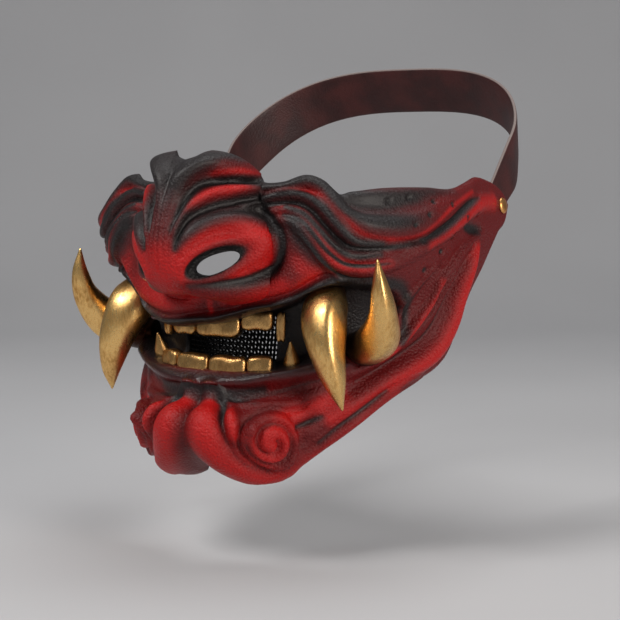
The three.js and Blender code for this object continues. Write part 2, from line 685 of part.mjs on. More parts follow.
function mouthSlot() {
  const { half, top, bottom, topLeft, topRight, endBottom, bulge } = SLOT;
  const shape = new THREE.Shape();
  shape.moveTo(-half, endBottom);
  shape.quadraticCurveTo(0, 2 * bottom - endBottom, half, endBottom);
  shape.quadraticCurveTo(half + bulge, (topLeft + endBottom) / 2, half, topLeft);
  shape.quadraticCurveTo(0, 2 * top - (topLeft + topRight) / 2, -half, topRight);
  shape.quadraticCurveTo(-half - bulge, (topRight + endBottom) / 2, -half, endBottom);
  return throughFace(shape, DRILL.front, DRILL.mouthBack);
}

function nostrilHole(side) {
  const { u, v, half, narrow, turn, drilled } = NOSTRIL;
  const shape = new THREE.Shape();
  const middle = headForm(side * u, v).point;
  shape.absellipse(
    middle.x, v - NOSTRIL_DROP, half * drilled, narrow * drilled, 0, 2 * Math.PI, false, side * turn,
  );
  return throughFace(shape, DRILL.front, DRILL.noseBack);
}

// ---------------------------------------------------------------- assembly
const finish = (color, roughness, metalness) => new THREE.MeshStandardMaterial({ color, roughness, metalness });
const RED_RESIN = finish(0x8a0f12, 0.42, 0);
const GOLD = finish(0xc98a2c, 0.38, 0.85);
const DARK_GOLD = finish(0xa8712a, 0.42, 0.8);
const BLACK_WIRE = finish(0x0c0c0d, 0.45, 0.6);
const LEATHER = finish(0x1c0f10, 0.6, 0);
const BRASS = finish(0xd08a3a, 0.35, 0.9);

const SIDE_NAME = { "-1": "_right", 0: "_middle", 1: "_left" };
const HORNS = [
  { name: "upper_tusk", rows: UPPER_TUSK, sides: 12, steps: 11, material: GOLD },
  { name: "lower_tusk", rows: LOWER_TUSK, sides: 12, steps: 11, material: GOLD },
  { name: "lower_fang", rows: FANG, sides: 8, steps: 4, material: DARK_GOLD },
];

const guard = new THREE.Group();
function addPiece(name, geometry, material) {
  const mesh = new THREE.Mesh(geometry, material);
  mesh.name = name;
  guard.add(mesh);
}

let shell = toSolid(shellGeometry());
const cut = (solid) => {
  shell = shell.subtract(solid);
};
cut(mouthSlot());
for (const side of [-1, 1]) {
  cut(nostrilHole(side));
  cut(rivetHole(side));
  for (const { name, rows, sides, steps, material } of HORNS) {
    cut(toSolid(horn(rows, side, sides, steps, GAP)));
    addPiece(name + SIDE_NAME[side], horn(rows, side, sides, steps), material);
  }
}
for (const { name, sides, ...tooth } of TEETH) {
  for (const side of sides) {
    cut(toSolid(pillow(tooth, side, GAP)));
    addPiece(name + SIDE_NAME[side], pillow(tooth, side), DARK_GOLD);
  }
}
addPiece("face_shell", toGeometry(shell.simplify(SMOOTH)), RED_RESIN);
addPiece("mouth_mesh", mouthMeshGeometry(), BLACK_WIRE);

let strap = toSolid(strapGeometry());
for (const side of [-1, 1]) strap = strap.subtract(rivetHole(side));
addPiece("head_strap", toGeometry(strap), LEATHER);
for (const side of [-1, 1]) addPiece("rivet" + SIDE_NAME[side], rivetGeometry(side), BRASS);

export default guard;
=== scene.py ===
# %% [markdown]
# # A demon half mask, dressed over its solids
# The real object is a worn half mask of thin cast resin in the manner of a samurai's face guard: a snarling
# nose, cheeks of flowing strands, a toothed mouth with four tusks over a black wire mesh, and a curled chin.
# A leather strap riveted to two ear tabs holds it on the head. The solids in the frame already have every
# size and place. This script makes the surface that the eye sees: the carving, the airbrushed paint, the
# rubbed gold, the woven wire and the leather.

import math

import bpy
import mathutils
import numpy as np
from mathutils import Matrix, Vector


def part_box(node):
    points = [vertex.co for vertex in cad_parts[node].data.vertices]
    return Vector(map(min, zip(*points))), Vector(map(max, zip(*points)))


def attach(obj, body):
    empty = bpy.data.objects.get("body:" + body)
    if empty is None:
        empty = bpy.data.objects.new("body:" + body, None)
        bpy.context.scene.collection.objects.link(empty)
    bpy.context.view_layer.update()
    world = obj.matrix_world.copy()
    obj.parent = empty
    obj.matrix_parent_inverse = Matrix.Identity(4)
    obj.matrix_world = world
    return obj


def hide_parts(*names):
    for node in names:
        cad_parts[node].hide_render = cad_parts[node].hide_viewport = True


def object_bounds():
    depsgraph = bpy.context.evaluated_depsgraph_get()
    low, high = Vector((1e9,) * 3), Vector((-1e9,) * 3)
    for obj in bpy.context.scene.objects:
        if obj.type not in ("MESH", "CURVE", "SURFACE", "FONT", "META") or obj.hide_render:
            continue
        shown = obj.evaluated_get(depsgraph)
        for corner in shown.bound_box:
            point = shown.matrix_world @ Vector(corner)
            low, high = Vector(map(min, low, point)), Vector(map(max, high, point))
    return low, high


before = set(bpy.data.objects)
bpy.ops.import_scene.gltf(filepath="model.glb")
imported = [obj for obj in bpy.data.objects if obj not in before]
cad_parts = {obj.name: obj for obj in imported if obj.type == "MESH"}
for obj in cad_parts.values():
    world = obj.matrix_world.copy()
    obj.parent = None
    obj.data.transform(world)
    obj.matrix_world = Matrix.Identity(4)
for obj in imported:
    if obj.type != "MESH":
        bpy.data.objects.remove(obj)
cad_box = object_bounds()
MM = 0.001
FACE_LOW, FACE_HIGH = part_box("face_shell")
print("solids:", len(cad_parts), "face from", FACE_LOW, "to", FACE_HIGH)

# %% [markdown]
# ## Camera, floor and light come first
# A mask is looked at from a little to one side, so that the nose, one whole cheek and the curl of the chin all
# show. The camera could track an empty, but three numbers say the same thing plainly: how far it is turned
# round from straight ahead, how far it looks down, and how far away it stands. The floor is one sheet that
# bends up into a backdrop. Large area lamps give the broad, soft highlights that satin paint and gold need.

# %% Camera
TURN = math.radians(31)
RISE = math.radians(5.6)
DISTANCE = 0.75
AIM_RIGHT = -0.0115
AIM_UP = -0.0524
LENS = 88.4
SENSOR = 36

back = np.array([math.sin(TURN) * math.cos(RISE), -math.cos(TURN) * math.cos(RISE), math.sin(RISE)])
right = np.array([math.cos(TURN), math.sin(TURN), 0.0])
up = np.cross(back, right)
aim = AIM_RIGHT * right + AIM_UP * up
camera_data = bpy.data.cameras.new("camera")
camera_data.lens = LENS
camera_data.sensor_width = SENSOR
camera = bpy.data.objects.new("camera", camera_data)
frame_rows = np.eye(4)
frame_rows[:3] = np.stack([right, up, back, aim + DISTANCE * back], axis=1)
camera.matrix_world = mathutils.Matrix(frame_rows.tolist())
bpy.context.scene.collection.objects.link(camera)
bpy.context.scene.camera = camera

# %% Helpers that put arrays into meshes
def grid_faces(count_a, count_b, wrap_a=False, wrap_b=False):
    """Quads of a grid whose points run along b first: one for each pair of neighbours along a and along b."""
    a = np.arange(count_a if wrap_a else count_a - 1)
    b = np.arange(count_b if wrap_b else count_b - 1)
    i, j = np.meshgrid(a, b, indexing="ij")
    i_next, j_next = (i + 1) % count_a, (j + 1) % count_b
    corners = (i * count_b + j, i_next * count_b + j, i_next * count_b + j_next, i * count_b + j_next)
    return np.stack([corner.ravel() for corner in corners], axis=1)


def put_mesh(name, points, faces):
    """A smooth-shaded mesh object from points in millimetres and lists of faces."""
    mesh = bpy.data.meshes.new(name)
    mesh.from_pydata((np.asarray(points) * MM).tolist(), [], faces)
    mesh.validate()
    mesh.shade_smooth()
    obj = bpy.data.objects.new(name, mesh)
    bpy.context.scene.collection.objects.link(obj)
    return obj


def paint_values(obj, **layers):
    """Writes one number for each point of the mesh under each name, for a material to read."""
    for name, values in layers.items():
        attribute = obj.data.attributes.new(name, "FLOAT", "POINT")
        attribute.data.foreach_set("value", np.asarray(values, dtype=np.float32).ravel())


def settle(obj, slot, material, *nodes):
    """Gives a finished piece its material, its body and the solids that it stands for."""
    obj.data.materials.clear()
    obj.data.materials.append(material)
    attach(obj, "root")
    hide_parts(*nodes)
    obj.data.calc_loop_triangles()
    print(f"{obj.name}: {len(obj.data.loop_triangles)} triangles")


def closed_tube(rings):
    """Points and faces of a closed skin over rings of equal length, with a fan to a middle point at each end."""
    count, sides = rings.shape[:2]
    ends = np.stack([rings[0].mean(axis=0), rings[-1].mean(axis=0)])
    points = np.concatenate([rings.reshape(-1, 3), ends])
    faces = grid_faces(count, sides, wrap_b=True).tolist()
    first, last = count * sides, count * sides + 1
    around = np.arange(sides)
    after = (around + 1) % sides
    base = (count - 1) * sides
    faces += np.stack([np.full(sides, first), around, after], axis=1).tolist()
    faces += np.stack([np.full(sides, last), base + after, base + around], axis=1).tolist()
    return points, faces


def facing_out(points, faces):
    """The faces, each turned round if the volume that they enclose comes out negative."""
    corners = np.array([face[:3] for face in faces])
    a, b, c = (points[corners[:, k]] for k in range(3))
    volume = np.einsum("ij,ij->i", a - points.mean(axis=0), np.cross(b - a, c - a)).sum()
    return faces if volume > 0 else [face[::-1] for face in faces]


# %% Floor, backdrop and lamps
FLOOR_DROP = 0.035
FLOOR_DEPTH = 1.6
BEND = 0.7

def stage_sheet():
    """A sheet that runs level below the mask and then bends up behind it in a quarter circle."""
    level = cad_box[0][2] - FLOOR_DROP
    turn = np.linspace(0, math.pi / 2, 24)
    run = np.concatenate([[-FLOOR_DEPTH], FLOOR_DEPTH * 0.5 + BEND * np.sin(turn), [FLOOR_DEPTH * 0.5 + BEND]])
    rise = np.concatenate([[level], level + BEND * (1 - np.cos(turn)), [level + 3]])
    # The sheet faces the camera, so its run is measured away from it.
    side = np.linspace(-3, 3, 2)
    away = -np.array([math.sin(TURN), -math.cos(TURN), 0])
    across = np.array([math.cos(TURN), math.sin(TURN), 0])
    grid = (
        side[:, None, None] * across
        + run[None, :, None] * away
        + rise[None, :, None] * np.array([0, 0, 1.0])
    )
    return put_mesh("floor", grid.reshape(-1, 3) / MM, grid_faces(2, len(run)).tolist())


def area_lamp(name, place, size, power, colour):
    """A square area lamp that points at the middle of the mask."""
    data = bpy.data.lights.new(name, "AREA")
    data.size = size
    data.energy = power
    data.color = colour
    lamp = bpy.data.objects.new(name, data)
    lamp.location = place
    target = mathutils.Vector((0, -0.05, -0.03))
    lamp.rotation_euler = (target - lamp.location).to_track_quat("-Z", "Y").to_euler()
    bpy.context.scene.collection.objects.link(lamp)


floor = stage_sheet()
area_lamp("key", (-0.35, -0.85, 0.85), 0.45, 10.5, (1.0, 0.98, 0.96))
area_lamp("side", (1.1, -0.35, 0.25), 0.4, 8, (1.0, 0.93, 0.86))
area_lamp("top", (0.1, 0.2, 1.2), 0.7, 5.5, (1, 1, 1))
world = bpy.data.worlds.new("studio")
world.use_nodes = True
world.node_tree.nodes["Background"].inputs["Color"].default_value = (0.82, 0.85, 0.9, 1)
world.node_tree.nodes["Background"].inputs["Strength"].default_value = 0.2
bpy.context.scene.world = world
bpy.context.scene.view_settings.view_transform = "Standard"

# %% [markdown]
# ## Materials are written as sums
# A node tree is quickest to read as an expression. `Wire` holds one socket, and its operators add Math nodes, so
# `black + 0.4 * (grain - 0.5)` builds the nodes that work it out. `Finish` owns the tree of one material and
# makes every other node with a single method.

# %% Sockets that can be added and multiplied
class Wire:
    """One output socket of a material's tree. Each operator adds a Math node to that tree."""

    def __init__(self, finish, socket):
        self.finish = finish
        self.socket = socket

    def __add__(self, other):
        return self.finish.maths("ADD", self, other)

    def __sub__(self, other):
        return self.finish.maths("SUBTRACT", self, other)

    def __rsub__(self, other):
        return self.finish.maths("SUBTRACT", other, self)

    def __mul__(self, other):
        return self.finish.maths("MULTIPLY", self, other)

    def __pow__(self, other):
        return self.finish.maths("POWER", self, other)

    __radd__ = __add__
    __rmul__ = __mul__


class Finish:
    """A material and the nodes in it, with one Principled shader wired to its output."""

    def __init__(self, name, **fixed):
        self.material = bpy.data.materials.new(name)
        self.material.use_nodes = True
        self.tree = self.material.node_tree
        self.tree.nodes.clear()
        self.shader = self.tree.nodes.new("ShaderNodeBsdfPrincipled")
        output = self.tree.nodes.new("ShaderNodeOutputMaterial")
        self.tree.links.new(self.shader.outputs["BSDF"], output.inputs["Surface"])
        self.feed(self.shader, {key.replace("_", " "): value for key, value in fixed.items()})

    def feed(self, node, sockets):
        """Links or sets each named socket."""
        for key, value in sockets.items():
            socket = node.inputs[key]
            if isinstance(value, Wire):
                self.tree.links.new(value.socket, socket)
            else:
                socket.default_value = value

    def node(self, kind, sockets, output=0, **settings):
        """Adds a node: its settings first, then the values or links of its sockets, and gives one output."""
        made = self.tree.nodes.new("ShaderNode" + kind)
        stops = settings.pop("stops", None)
        for key, value in settings.items():
            setattr(made, key, value)
        for place, (position, colour) in enumerate(stops or []):
            elements = made.color_ramp.elements
            stop = elements[place] if place < 2 else elements.new(position)
            stop.position = position
            stop.color = colour
        self.feed(made, sockets)
        return Wire(self, made.outputs[output])

    def maths(self, operation, first, second=0.0):
        return self.node("Math", {0: first, 1: second}, operation=operation)

    def layer(self, name):
        """The number that was written on the mesh under this name."""
        return self.node("Attribute", {}, output="Fac", attribute_name=name)

    def place(self, scale=(1, 1, 1), turn=(0, 0, 0)):
        """Object coordinates in metres, stretched and turned."""
        coordinates = self.node("TexCoord", {}, output="Object")
        return self.node("Mapping", {"Vector": coordinates, "Scale": scale, "Rotation": turn})

    def noise(self, size, place=None, detail=2.0, roughness=0.5):
        """Noise whose lumps are about `size` millimetres across."""
        sockets = {"Scale": 1 / (size * MM), "Detail": detail, "Roughness": roughness}
        sockets["Vector"] = self.place() if place is None else place
        return self.node("TexNoise", sockets)

    def ease(self, value, start, end):
        """0 below start, 1 above end, and a smooth rise between."""
        sockets = {"Value": value, "From Min": start, "From Max": end, "To Min": 0.0, "To Max": 1.0}
        return self.node("MapRange", sockets, interpolation_type="SMOOTHSTEP")

    def blend(self, share, first, second):
        """A colour between two colours."""
        return self.node("Mix", {0: share, 6: first, 7: second}, output=2, data_type="RGBA")

    def bump(self, height, distance, strength=1.0):
        sockets = {"Height": height, "Distance": distance * MM, "Strength": strength}
        return self.node("Bump", sockets)

    def finish(self, **sockets):
        """Feeds the shader and gives the material."""
        self.feed(self.shader, {key.replace("_", " "): value for key, value in sockets.items()})
        return self.material


# %% [markdown]
# ## The sheet that the face is carved on
# A sculptor would build a face up in clay over a head. Here the head is a formula, and the face is carved on a
# sheet wrapped round it. A point of the sheet is (u, v): u runs round from the middle of the face, DEGREE
# millimetres to each degree of turn, and v is the height. Every strand and groove is then a short line on that
# flat sheet, which is much easier to place than a line in space.

# %% Curves through short tables
DEGREE = 1.88
BACK_DEPTH = 100
TAB_END = 193.5
WALL = 3


def curve(rows, column=1):
    """A smooth function through a table: cubic between rows, with each row's slope taken from its neighbours."""
    rows = np.asarray(rows, dtype=float)
    x, y = rows[:, 0], rows[:, column]
    before = np.maximum(np.arange(len(x)) - 1, 0)
    after = np.minimum(np.arange(len(x)) + 1, len(x) - 1)
    slope = (y[after] - y[before]) / (x[after] - x[before])

    def at(value):
        value = np.clip(value, x[0], x[-1])
        i = np.clip(np.searchsorted(x, value, side="right") - 1, 0, len(x) - 2)
        h = x[i + 1] - x[i]
        t = (value - x[i]) / h
        start = (1 + 2 * t) * (1 - t) ** 2 * y[i] + t * (1 - t) ** 2 * h * slope[i]
        end = t * t * (3 - 2 * t) * y[i + 1] + t * t * (t - 1) * h * slope[i + 1]
        return start + end

    return at


def ease(start, end, value):
    """0 before start, 1 past end, and a smooth rise between."""
    t = np.clip((value - start) / (end - start), 0, 1)
    return t * t * (3 - 2 * t)


def bell(value, width):
    """1 in the middle, falling off evenly both ways: e to the minus (value / width) squared."""
    return np.exp(-((value / width) ** 2))


# Level sections of the head: height, half width, half depth, how square.
SECTIONS = [
    (-120, 58, 107, 2.25), (-95, 68, 114, 2.25), (-70, 75, 110, 2.2), (-55, 78, 108, 2.25),
    (-40, 81, 107, 2.45), (-25, 85, 109, 3.1), (-12, 86, 111, 3.5), (0, 85, 110, 3.2),
    (10, 83, 108, 2.8), (22, 81, 107, 2.5), (40, 80, 105, 2.4),
]
# The mask's outline on the sheet: u, v.
TOP_EDGE = [
    (0, 21.5), (5, 23), (10, 25.5), (15, 23), (20, 18), (26, 12), (36, 11.5), (45, 14.5), (53, 12), (58, 7.5),
    (64, 8), (81, 9.5), (105, 9.5), (126, 8.5), (143, 11), (158, 13.5), (173, 12), (184, 9.5), (190, 6.5),
    (193.5, 2),
]
BOTTOM_EDGE = [
    (0, -111), (6, -114), (11, -117), (24, -119), (38, -114.5), (43, -110), (55, -101), (68, -92.5),
    (83, -85), (101, -79.5), (120, -76), (132, -71.5), (138, -66), (145, -54), (150, -43), (156, -34),
    (164, -24), (177, -13.5), (186, -9.5), (193.5, -2),
]
# Nose: height, forward reach, half width.
NOSE = [
    (-40, 0, 19), (-37, 2, 23), (-34.5, 11, 26.5), (-32, 24, 29), (-28, 30.5, 30.5), (-22, 33.5, 31.5),
    (-15, 34.5, 31.5), (-8, 34, 30), (0, 31.5, 27.5), (8, 29, 25), (16, 27.5, 22.5), (30, 25, 20),
]
NOSE_ROUND = 0.9
NOSE_TIP = 34
NOSE_DROOP = 4
# Chin: height, forward reach.
CHIN = [(-116, 3), (-108, 8.5), (-100, 12), (-90, 12), (-83, 5.5), (-77, 0)]
# The mouth's edges and the lower lip's crest: u, v.
LIP = [
    (0, -48.8), (6, -47.8), (13, -46), (21, -43.4), (32, -40.8), (40, -37.8), (46, -34.5), (54, -31.5),
    (66, -31), (78, -32), (87, -36), (93, -44),
]
SAG = 9
GUM = [
    (0, -70), (20, -70), (30, -69.5), (41, -67.5), (50, -65), (62, -62), (75, -61), (85, -57), (93, -45),
]
LOWER_LIP = [(0, -74.5), (16, -74), (29, -71.5), (43, -68.5), (53, -66.5), (72, -67)]
MOUTH_DEPTH = 13
MOUTH_END = 93
POCKET_MARGIN = 5
# Where the rows of the grid run, so that they follow the mouth and the foot of the nose: u, gum, lip, nose.
GUIDES = [
    (0, -70, -47, -34.5), (20, -70, -42.5, -33.5), (38, -68, -38.5, -30), (50, -65, -32.5, -25),
    (62, -62, -31, -26.5), (75, -61, -31.5, -28), (86, -56.5, -35.5, -27), (104, -52, -34, -20),
    (125, -44, -22, -11), (150, -27, -12, -3), (170, -11, -5, 2), (193.5, -1, 0, 1),
]

section_width, section_depth, section_power = (curve(SECTIONS, k) for k in (1, 2, 3))
top_edge, bottom_edge = curve(TOP_EDGE), curve(BOTTOM_EDGE)
nose_reach, nose_width = curve(NOSE, 1), curve(NOSE, 2)
chin_reach = curve(CHIN)
lip_height, gum_line, lower_lip_line = curve(LIP), curve(GUM), curve(LOWER_LIP)
guide_lines = [curve(GUIDES, k) for k in (1, 2, 3)]


def sag(u):
    """How much lower the lip hangs on the wearer's right, where it isn't lifted in the snarl."""
    return SAG * ease(-2, 28, -u) * (1 - ease(40, 50, -u))


def lip_line(u):
    return lip_height(np.abs(u)) - sag(u)


def head_form(u, v):
    """The plain head: the ray turned u / DEGREE degrees from the front meets the level section
    |x / width|^power + |y / depth|^power = 1 of height v. Gives the points and the level ways out."""
    turn = np.radians(u / DEGREE)
    sine, cosine = np.sin(turn), np.cos(turn)
    width, power = section_width(v), section_power(v)
    depth = np.where(cosine > 0, section_depth(v), BACK_DEPTH)
    radius = (np.abs(sine / width) ** power + np.abs(cosine / depth) ** power) ** (-1 / power)
    x, y = radius * sine, -radius * cosine
    out_x = np.sign(x) * np.abs(x / width) ** (power - 1) / width
    out_y = np.sign(y) * np.abs(y / depth) ** (power - 1) / depth
    length = np.hypot(out_x, out_y)
    return np.stack([x, y, v], axis=-1), np.stack([out_x / length, out_y / length, 0 * v], axis=-1)


def surface_normals(grid):
    """Unit normals of a grid of points: the steps along its columns crossed with those along its rows."""
    normal = np.cross(np.gradient(grid, axis=0), np.gradient(grid, axis=1))
    return normal / np.linalg.norm(normal, axis=-1, keepdims=True)


# %% [markdown]
# ## Strands, grooves and airbrush strokes
# The carving is flowing strands with dark grooves between them. Each could be a separate tube laid on the face,
# but they melt into each other on a cast, so each is a line that raises or lowers the sheet around it. The same
# kind of line then carries the paint, in soft strokes. Black goes into the grooves and over the crests; it is partly
# the maker's own black and partly painted shade in the grooves and creases. Bright red goes on what stands proud,
# and it is a painted highlight.

# %% Following a line on the sheet
def follow(line, u, v, reach=3.0):
    """The gap from each point of the sheet to a smooth line, measured in the line's own half widths, and the
    line's height beside it. The line's rows are u, v, half width, height. Past `reach` half widths it stops."""
    rows = np.asarray(line, dtype=float)
    number = np.arange(len(rows))
    fine = np.linspace(0, len(rows) - 1, 6 * (len(rows) - 1) + 1)
    path = np.stack([curve(np.stack([number, rows[:, k]], axis=1))(fine) for k in range(4)], axis=1)
    margin = path[:, 2].max() * reach
    low, high = path[:, :2].min(axis=0) - margin, path[:, :2].max(axis=0) + margin
    near = (u > low[0]) & (u < high[0]) & (v > low[1]) & (v < high[1])
    near_u, near_v = u[near], v[near]
    best = np.full(near_u.shape, np.inf)
    passed = np.zeros(near_u.shape)
    for k, (start, step) in enumerate(zip(path[:-1, :2], np.diff(path[:, :2], axis=0))):
        t = np.clip(((near_u - start[0]) * step[0] + (near_v - start[1]) * step[1]) / (step @ step), 0, 1)
        gap = np.hypot(near_u - start[0] - t * step[0], near_v - start[1] - t * step[1])
        closer = gap < best
        best = np.where(closer, gap, best)
        passed = np.where(closer, k + t, passed)
    order = np.arange(len(path))
    gap_out = np.full(u.shape, reach)
    height_out = np.zeros(u.shape)
    gap_out[near] = np.minimum(best / np.maximum(np.interp(passed, order, path[:, 2]), 0.1), reach)
    height_out[near] = np.interp(passed, order, path[:, 3])
    return gap_out, height_out


RIDGE_POWER = 1.15


def raised(lines, u, v):
    """Round ridges with a crease at each foot: height times (1 - gap squared) to the power RIDGE_POWER."""
    total = np.zeros(u.shape)
    for line in lines:
        gap, height = follow(line, u, v, 1.0)
        total += height * np.clip(1 - gap**2, 0, None) ** RIDGE_POWER
    return total


def sunk(lines, u, v):
    """Soft grooves: height times a bell of the gap."""
    total = np.zeros(u.shape)
    for line in lines:
        gap, height = follow(line, u, v)
        total += height * (bell(gap, 1) - bell(3, 1)).clip(0)
    return total


def sprayed(lines, u, v):
    """Airbrush strokes laid over each other: what is left bare is the product of what each stroke leaves."""
    bare = np.ones(u.shape)
    for line in lines:
        gap, strength = follow(line, u, v)
        bare *= 1 - np.clip(strength, 0, 1) * (bell(gap, 1) - bell(3, 1)).clip(0)
    return 1 - bare


# %% The carving, a line for each strand or groove: u, v, half width, height
CHEEK_STRANDS = [
    [(22, 8, 3, 1.5), (28, 9.9, 3.4, 3), (36, 10.2, 3.6, 3.6), (42, 11.6, 3.8, 4), (47, 11.8, 4, 4.2),
     (51.8, 9.2, 4.2, 4.2), (56, 4.5, 4.4, 4.2), (59.5, 0.2, 4.6, 4.2), (64, -3.6, 5, 4), (70, -6, 5.6, 3.8),
     (80, -7, 6, 3.2), (95, -6, 6, 2.4), (112, -1, 6, 1.6), (130, 4, 6, 1), (150, 7, 5, 0)],
    [(24, 3.6, 2.2, 1.5), (30.7, 5.4, 2.4, 2.4), (39, 6.6, 2.6, 2.8), (44, 6.2, 2.7, 2.8),
     (48, 4.6, 2.8, 2.8),
     (52, 1.4, 2.8, 2.9), (56, -3.4, 2.9, 3), (61, -9, 3, 3), (66, -12.6, 2.8, 2.4), (72, -13.8, 2.2, 1.2),
     (80, -14.2, 2, 0)],
    [(30, 1.9, 1.2, 0.8), (37, 2.5, 1.4, 1.3), (45.7, 0, 1.5, 1.5), (52.3, -7, 1.5, 1.5),
     (59, -14.4, 1.6, 1.5),
     (67, -17.4, 1.6, 1.4), (76, -17.2, 1.4, 0.6)],
    [(32, -0.6, 1.8, 1.2), (38.5, 0.2, 2, 2), (44.6, -2.4, 2.2, 2.4), (50, -8, 2.3, 2.4),
     (56, -14.6, 2.4, 2.4),
     (62, -19, 2.4, 2.2), (70, -20.2, 2.2, 1.6), (80, -19.6, 2, 0.4)],
    [(33, -4, 2.6, 1.2), (40, -4.4, 3, 2.4), (45, -7.8, 3.2, 3), (50, -13, 3.4, 3.2), (55, -19.2, 3.6, 3.2),
     (60, -23, 3.6, 3.2), (67, -24.8, 3.6, 3), (76, -24.2, 3.6, 2.4), (88, -21, 3.4, 1.6),
     (100, -17, 3, 0.6)],
    [(40.7, -8, 1.2, 0.6), (46, -12.6, 1.3, 1.4), (50, -18, 1.4, 1.6), (55.6, -25, 1.5, 1.6),
     (60, -28.6, 1.6, 1.2),
     (66, -29.6, 1.6, 0.4)],
    [(88, -19, 2.5, 0.6), (97, -15.4, 4, 2), (109, -11.6, 4.6, 2.8), (121, -6.8, 5, 3), (136, -2, 5, 3),
     (150, 1.6, 5, 2.6), (165, 3, 4.5, 1.6), (180, 2, 4, 0.4)],
]
JAW_STRANDS = [
    [(150, -12, 1.6, 0.8), (140, -14.6, 2, 2), (131, -18, 2.2, 2.6), (121, -24.6, 2.4, 2.8),
     (114, -32, 2.6, 3),
     (110.5, -40.5, 2.8, 3.2), (105.5, -47, 3, 3.2), (98.8, -53.3, 3, 3.2), (93, -58.3, 3, 3),
     (86, -62.6, 3, 3),
     (78, -66, 3, 2.6), (70, -69, 2.8, 2), (60, -73, 2.4, 0.8)],
    [(117, -24, 1.2, 0.4), (107, -25.5, 1.6, 1.6), (104, -29, 1.8, 2), (99.4, -34, 2, 2.2),
     (95, -37.6, 2, 2.2),
     (91.6, -41, 2, 1.8), (89, -46, 1.8, 1)],
    [(128, -24, 1.2, 0.6), (124, -30, 1.6, 1.8), (120, -37, 1.8, 2), (115, -44.6, 1.8, 2),
     (108, -51, 1.8, 1.8),
     (101, -56, 1.6, 0.8)],
    [(149, -14, 3, 1), (143, -25, 5, 3), (139.2, -33, 6.5, 4), (136, -42, 7.5, 4.6), (133, -50, 8, 5),
     (128, -57.5, 8, 5), (120, -64, 7.4, 5), (109, -68.6, 6.6, 4.8), (96.6, -71.8, 6, 4.6),
     (85.5, -75, 5.6, 4.4),
     (75, -79.6, 5.6, 4.4), (65, -84.4, 5.6, 4.2), (55.6, -89.4, 5.4, 3.6), (48.4, -95.5, 5, 2)],
    [(112, -76, 3, 1), (104, -77.5, 4, 2.5), (89, -81, 5, 4), (75, -87.8, 6, 5), (62, -95, 6.5, 5.5),
     (50, -104, 7, 5.6), (40, -112, 7.6, 5.6), (30, -116, 8.4, 5.2), (18.4, -111, 9.2, 4.8),
     (11.6, -103, 9.4, 4.2), (9, -94, 9, 4.2), (7.2, -86, 7.8, 4.2), (5, -78.6, 5.8, 3.2)],
    [(14, -82.4, 2, 1), (17.2, -84.8, 2.8, 2.6), (20.2, -88.6, 3.2, 3.2), (21.8, -93.4, 2.8, 2.8),
     (22.2, -98, 2, 1)],
    [(1, -76.4, 1.4, 1), (5.3, -76.9, 1.5, 1.8), (8.6, -77.8, 1.5, 2), (12.5, -81, 1.6, 2.2),
     (16.3, -82.2, 1.7, 2.2), (21, -81.6, 1.8, 2.2), (27, -81.2, 2, 2), (34, -82.2, 2.4, 1.6),
     (42, -83, 3, 1)],
]
NOSE_FOLDS = [
    [(0.5, -4, 3, 0.6), (1.2, 3, 3.6, 2), (3.4, 11, 4.2, 3.4), (7.5, 17.5, 4.8, 4.4), (12.3, 20.5, 5, 4.8),
     (16.5, 19, 4.8, 4.4), (20, 14.6, 3.6, 3)],
    [(7.2, -8, 1.6, 0.8), (8.6, -2.6, 2.2, 2), (11.4, 3.6, 2.8, 2.8), (15.4, 7.4, 3.2, 3.2),
     (20, 8.8, 3.4, 3.2),
     (25, 7.6, 3, 2)],
    [(10, -13, 2.6, 1), (12.5, -8.6, 3.4, 2.2), (17.5, -4.6, 3.8, 3), (23.5, -4, 4, 3.4),
     (28.5, -8.5, 4, 3.4),
     (30.6, -15, 3.8, 3), (29.5, -21.5, 3.2, 1.6)],
]
NOSE_GROOVES = [
    [(5.6, -7, 1, 0.6), (6.9, -2, 1.2, 1.6), (8.2, 6, 1.4, 2.4), (11.4, 11.2, 1.5, 2.8),
     (16.5, 12.8, 1.6, 2.8),
     (23, 12.2, 1.5, 2)],
    [(7.6, -14, 1, 0.8), (8.8, -9, 1.2, 1.8), (10.6, -3, 1.3, 2.4), (14.6, 0.6, 1.4, 2.6), (19, 3, 1.4, 2.6),
     (25, 5, 1.4, 2)],
    [(27, 0.5, 1.6, 1.6), (31.5, -3.5, 2, 2.8), (35, -9.5, 2.2, 3.4), (35.6, -16, 2.2, 3.4),
     (33.4, -23, 2.1, 3),
     (28, -26.8, 1.8, 2.4), (20, -27.6, 1.7, 2), (10, -26.6, 1.5, 1.2)],
    [(0, 16, 0.7, 0.2), (0, 6, 0.8, 0.8), (0, -14, 0.8, 0.8), (0, -22, 0.7, 0.2)],
    [(1.6, 10, 0.7, 0.2), (2.3, 0, 0.8, 0.9), (2.6, -12, 0.8, 0.8), (2.2, -20, 0.7, 0.2)],
    [(4.6, 4, 0.7, 0.2), (5.2, -5, 0.8, 0.8), (4.8, -13, 0.8, 0.7), (4.2, -19, 0.7, 0.2)],
]
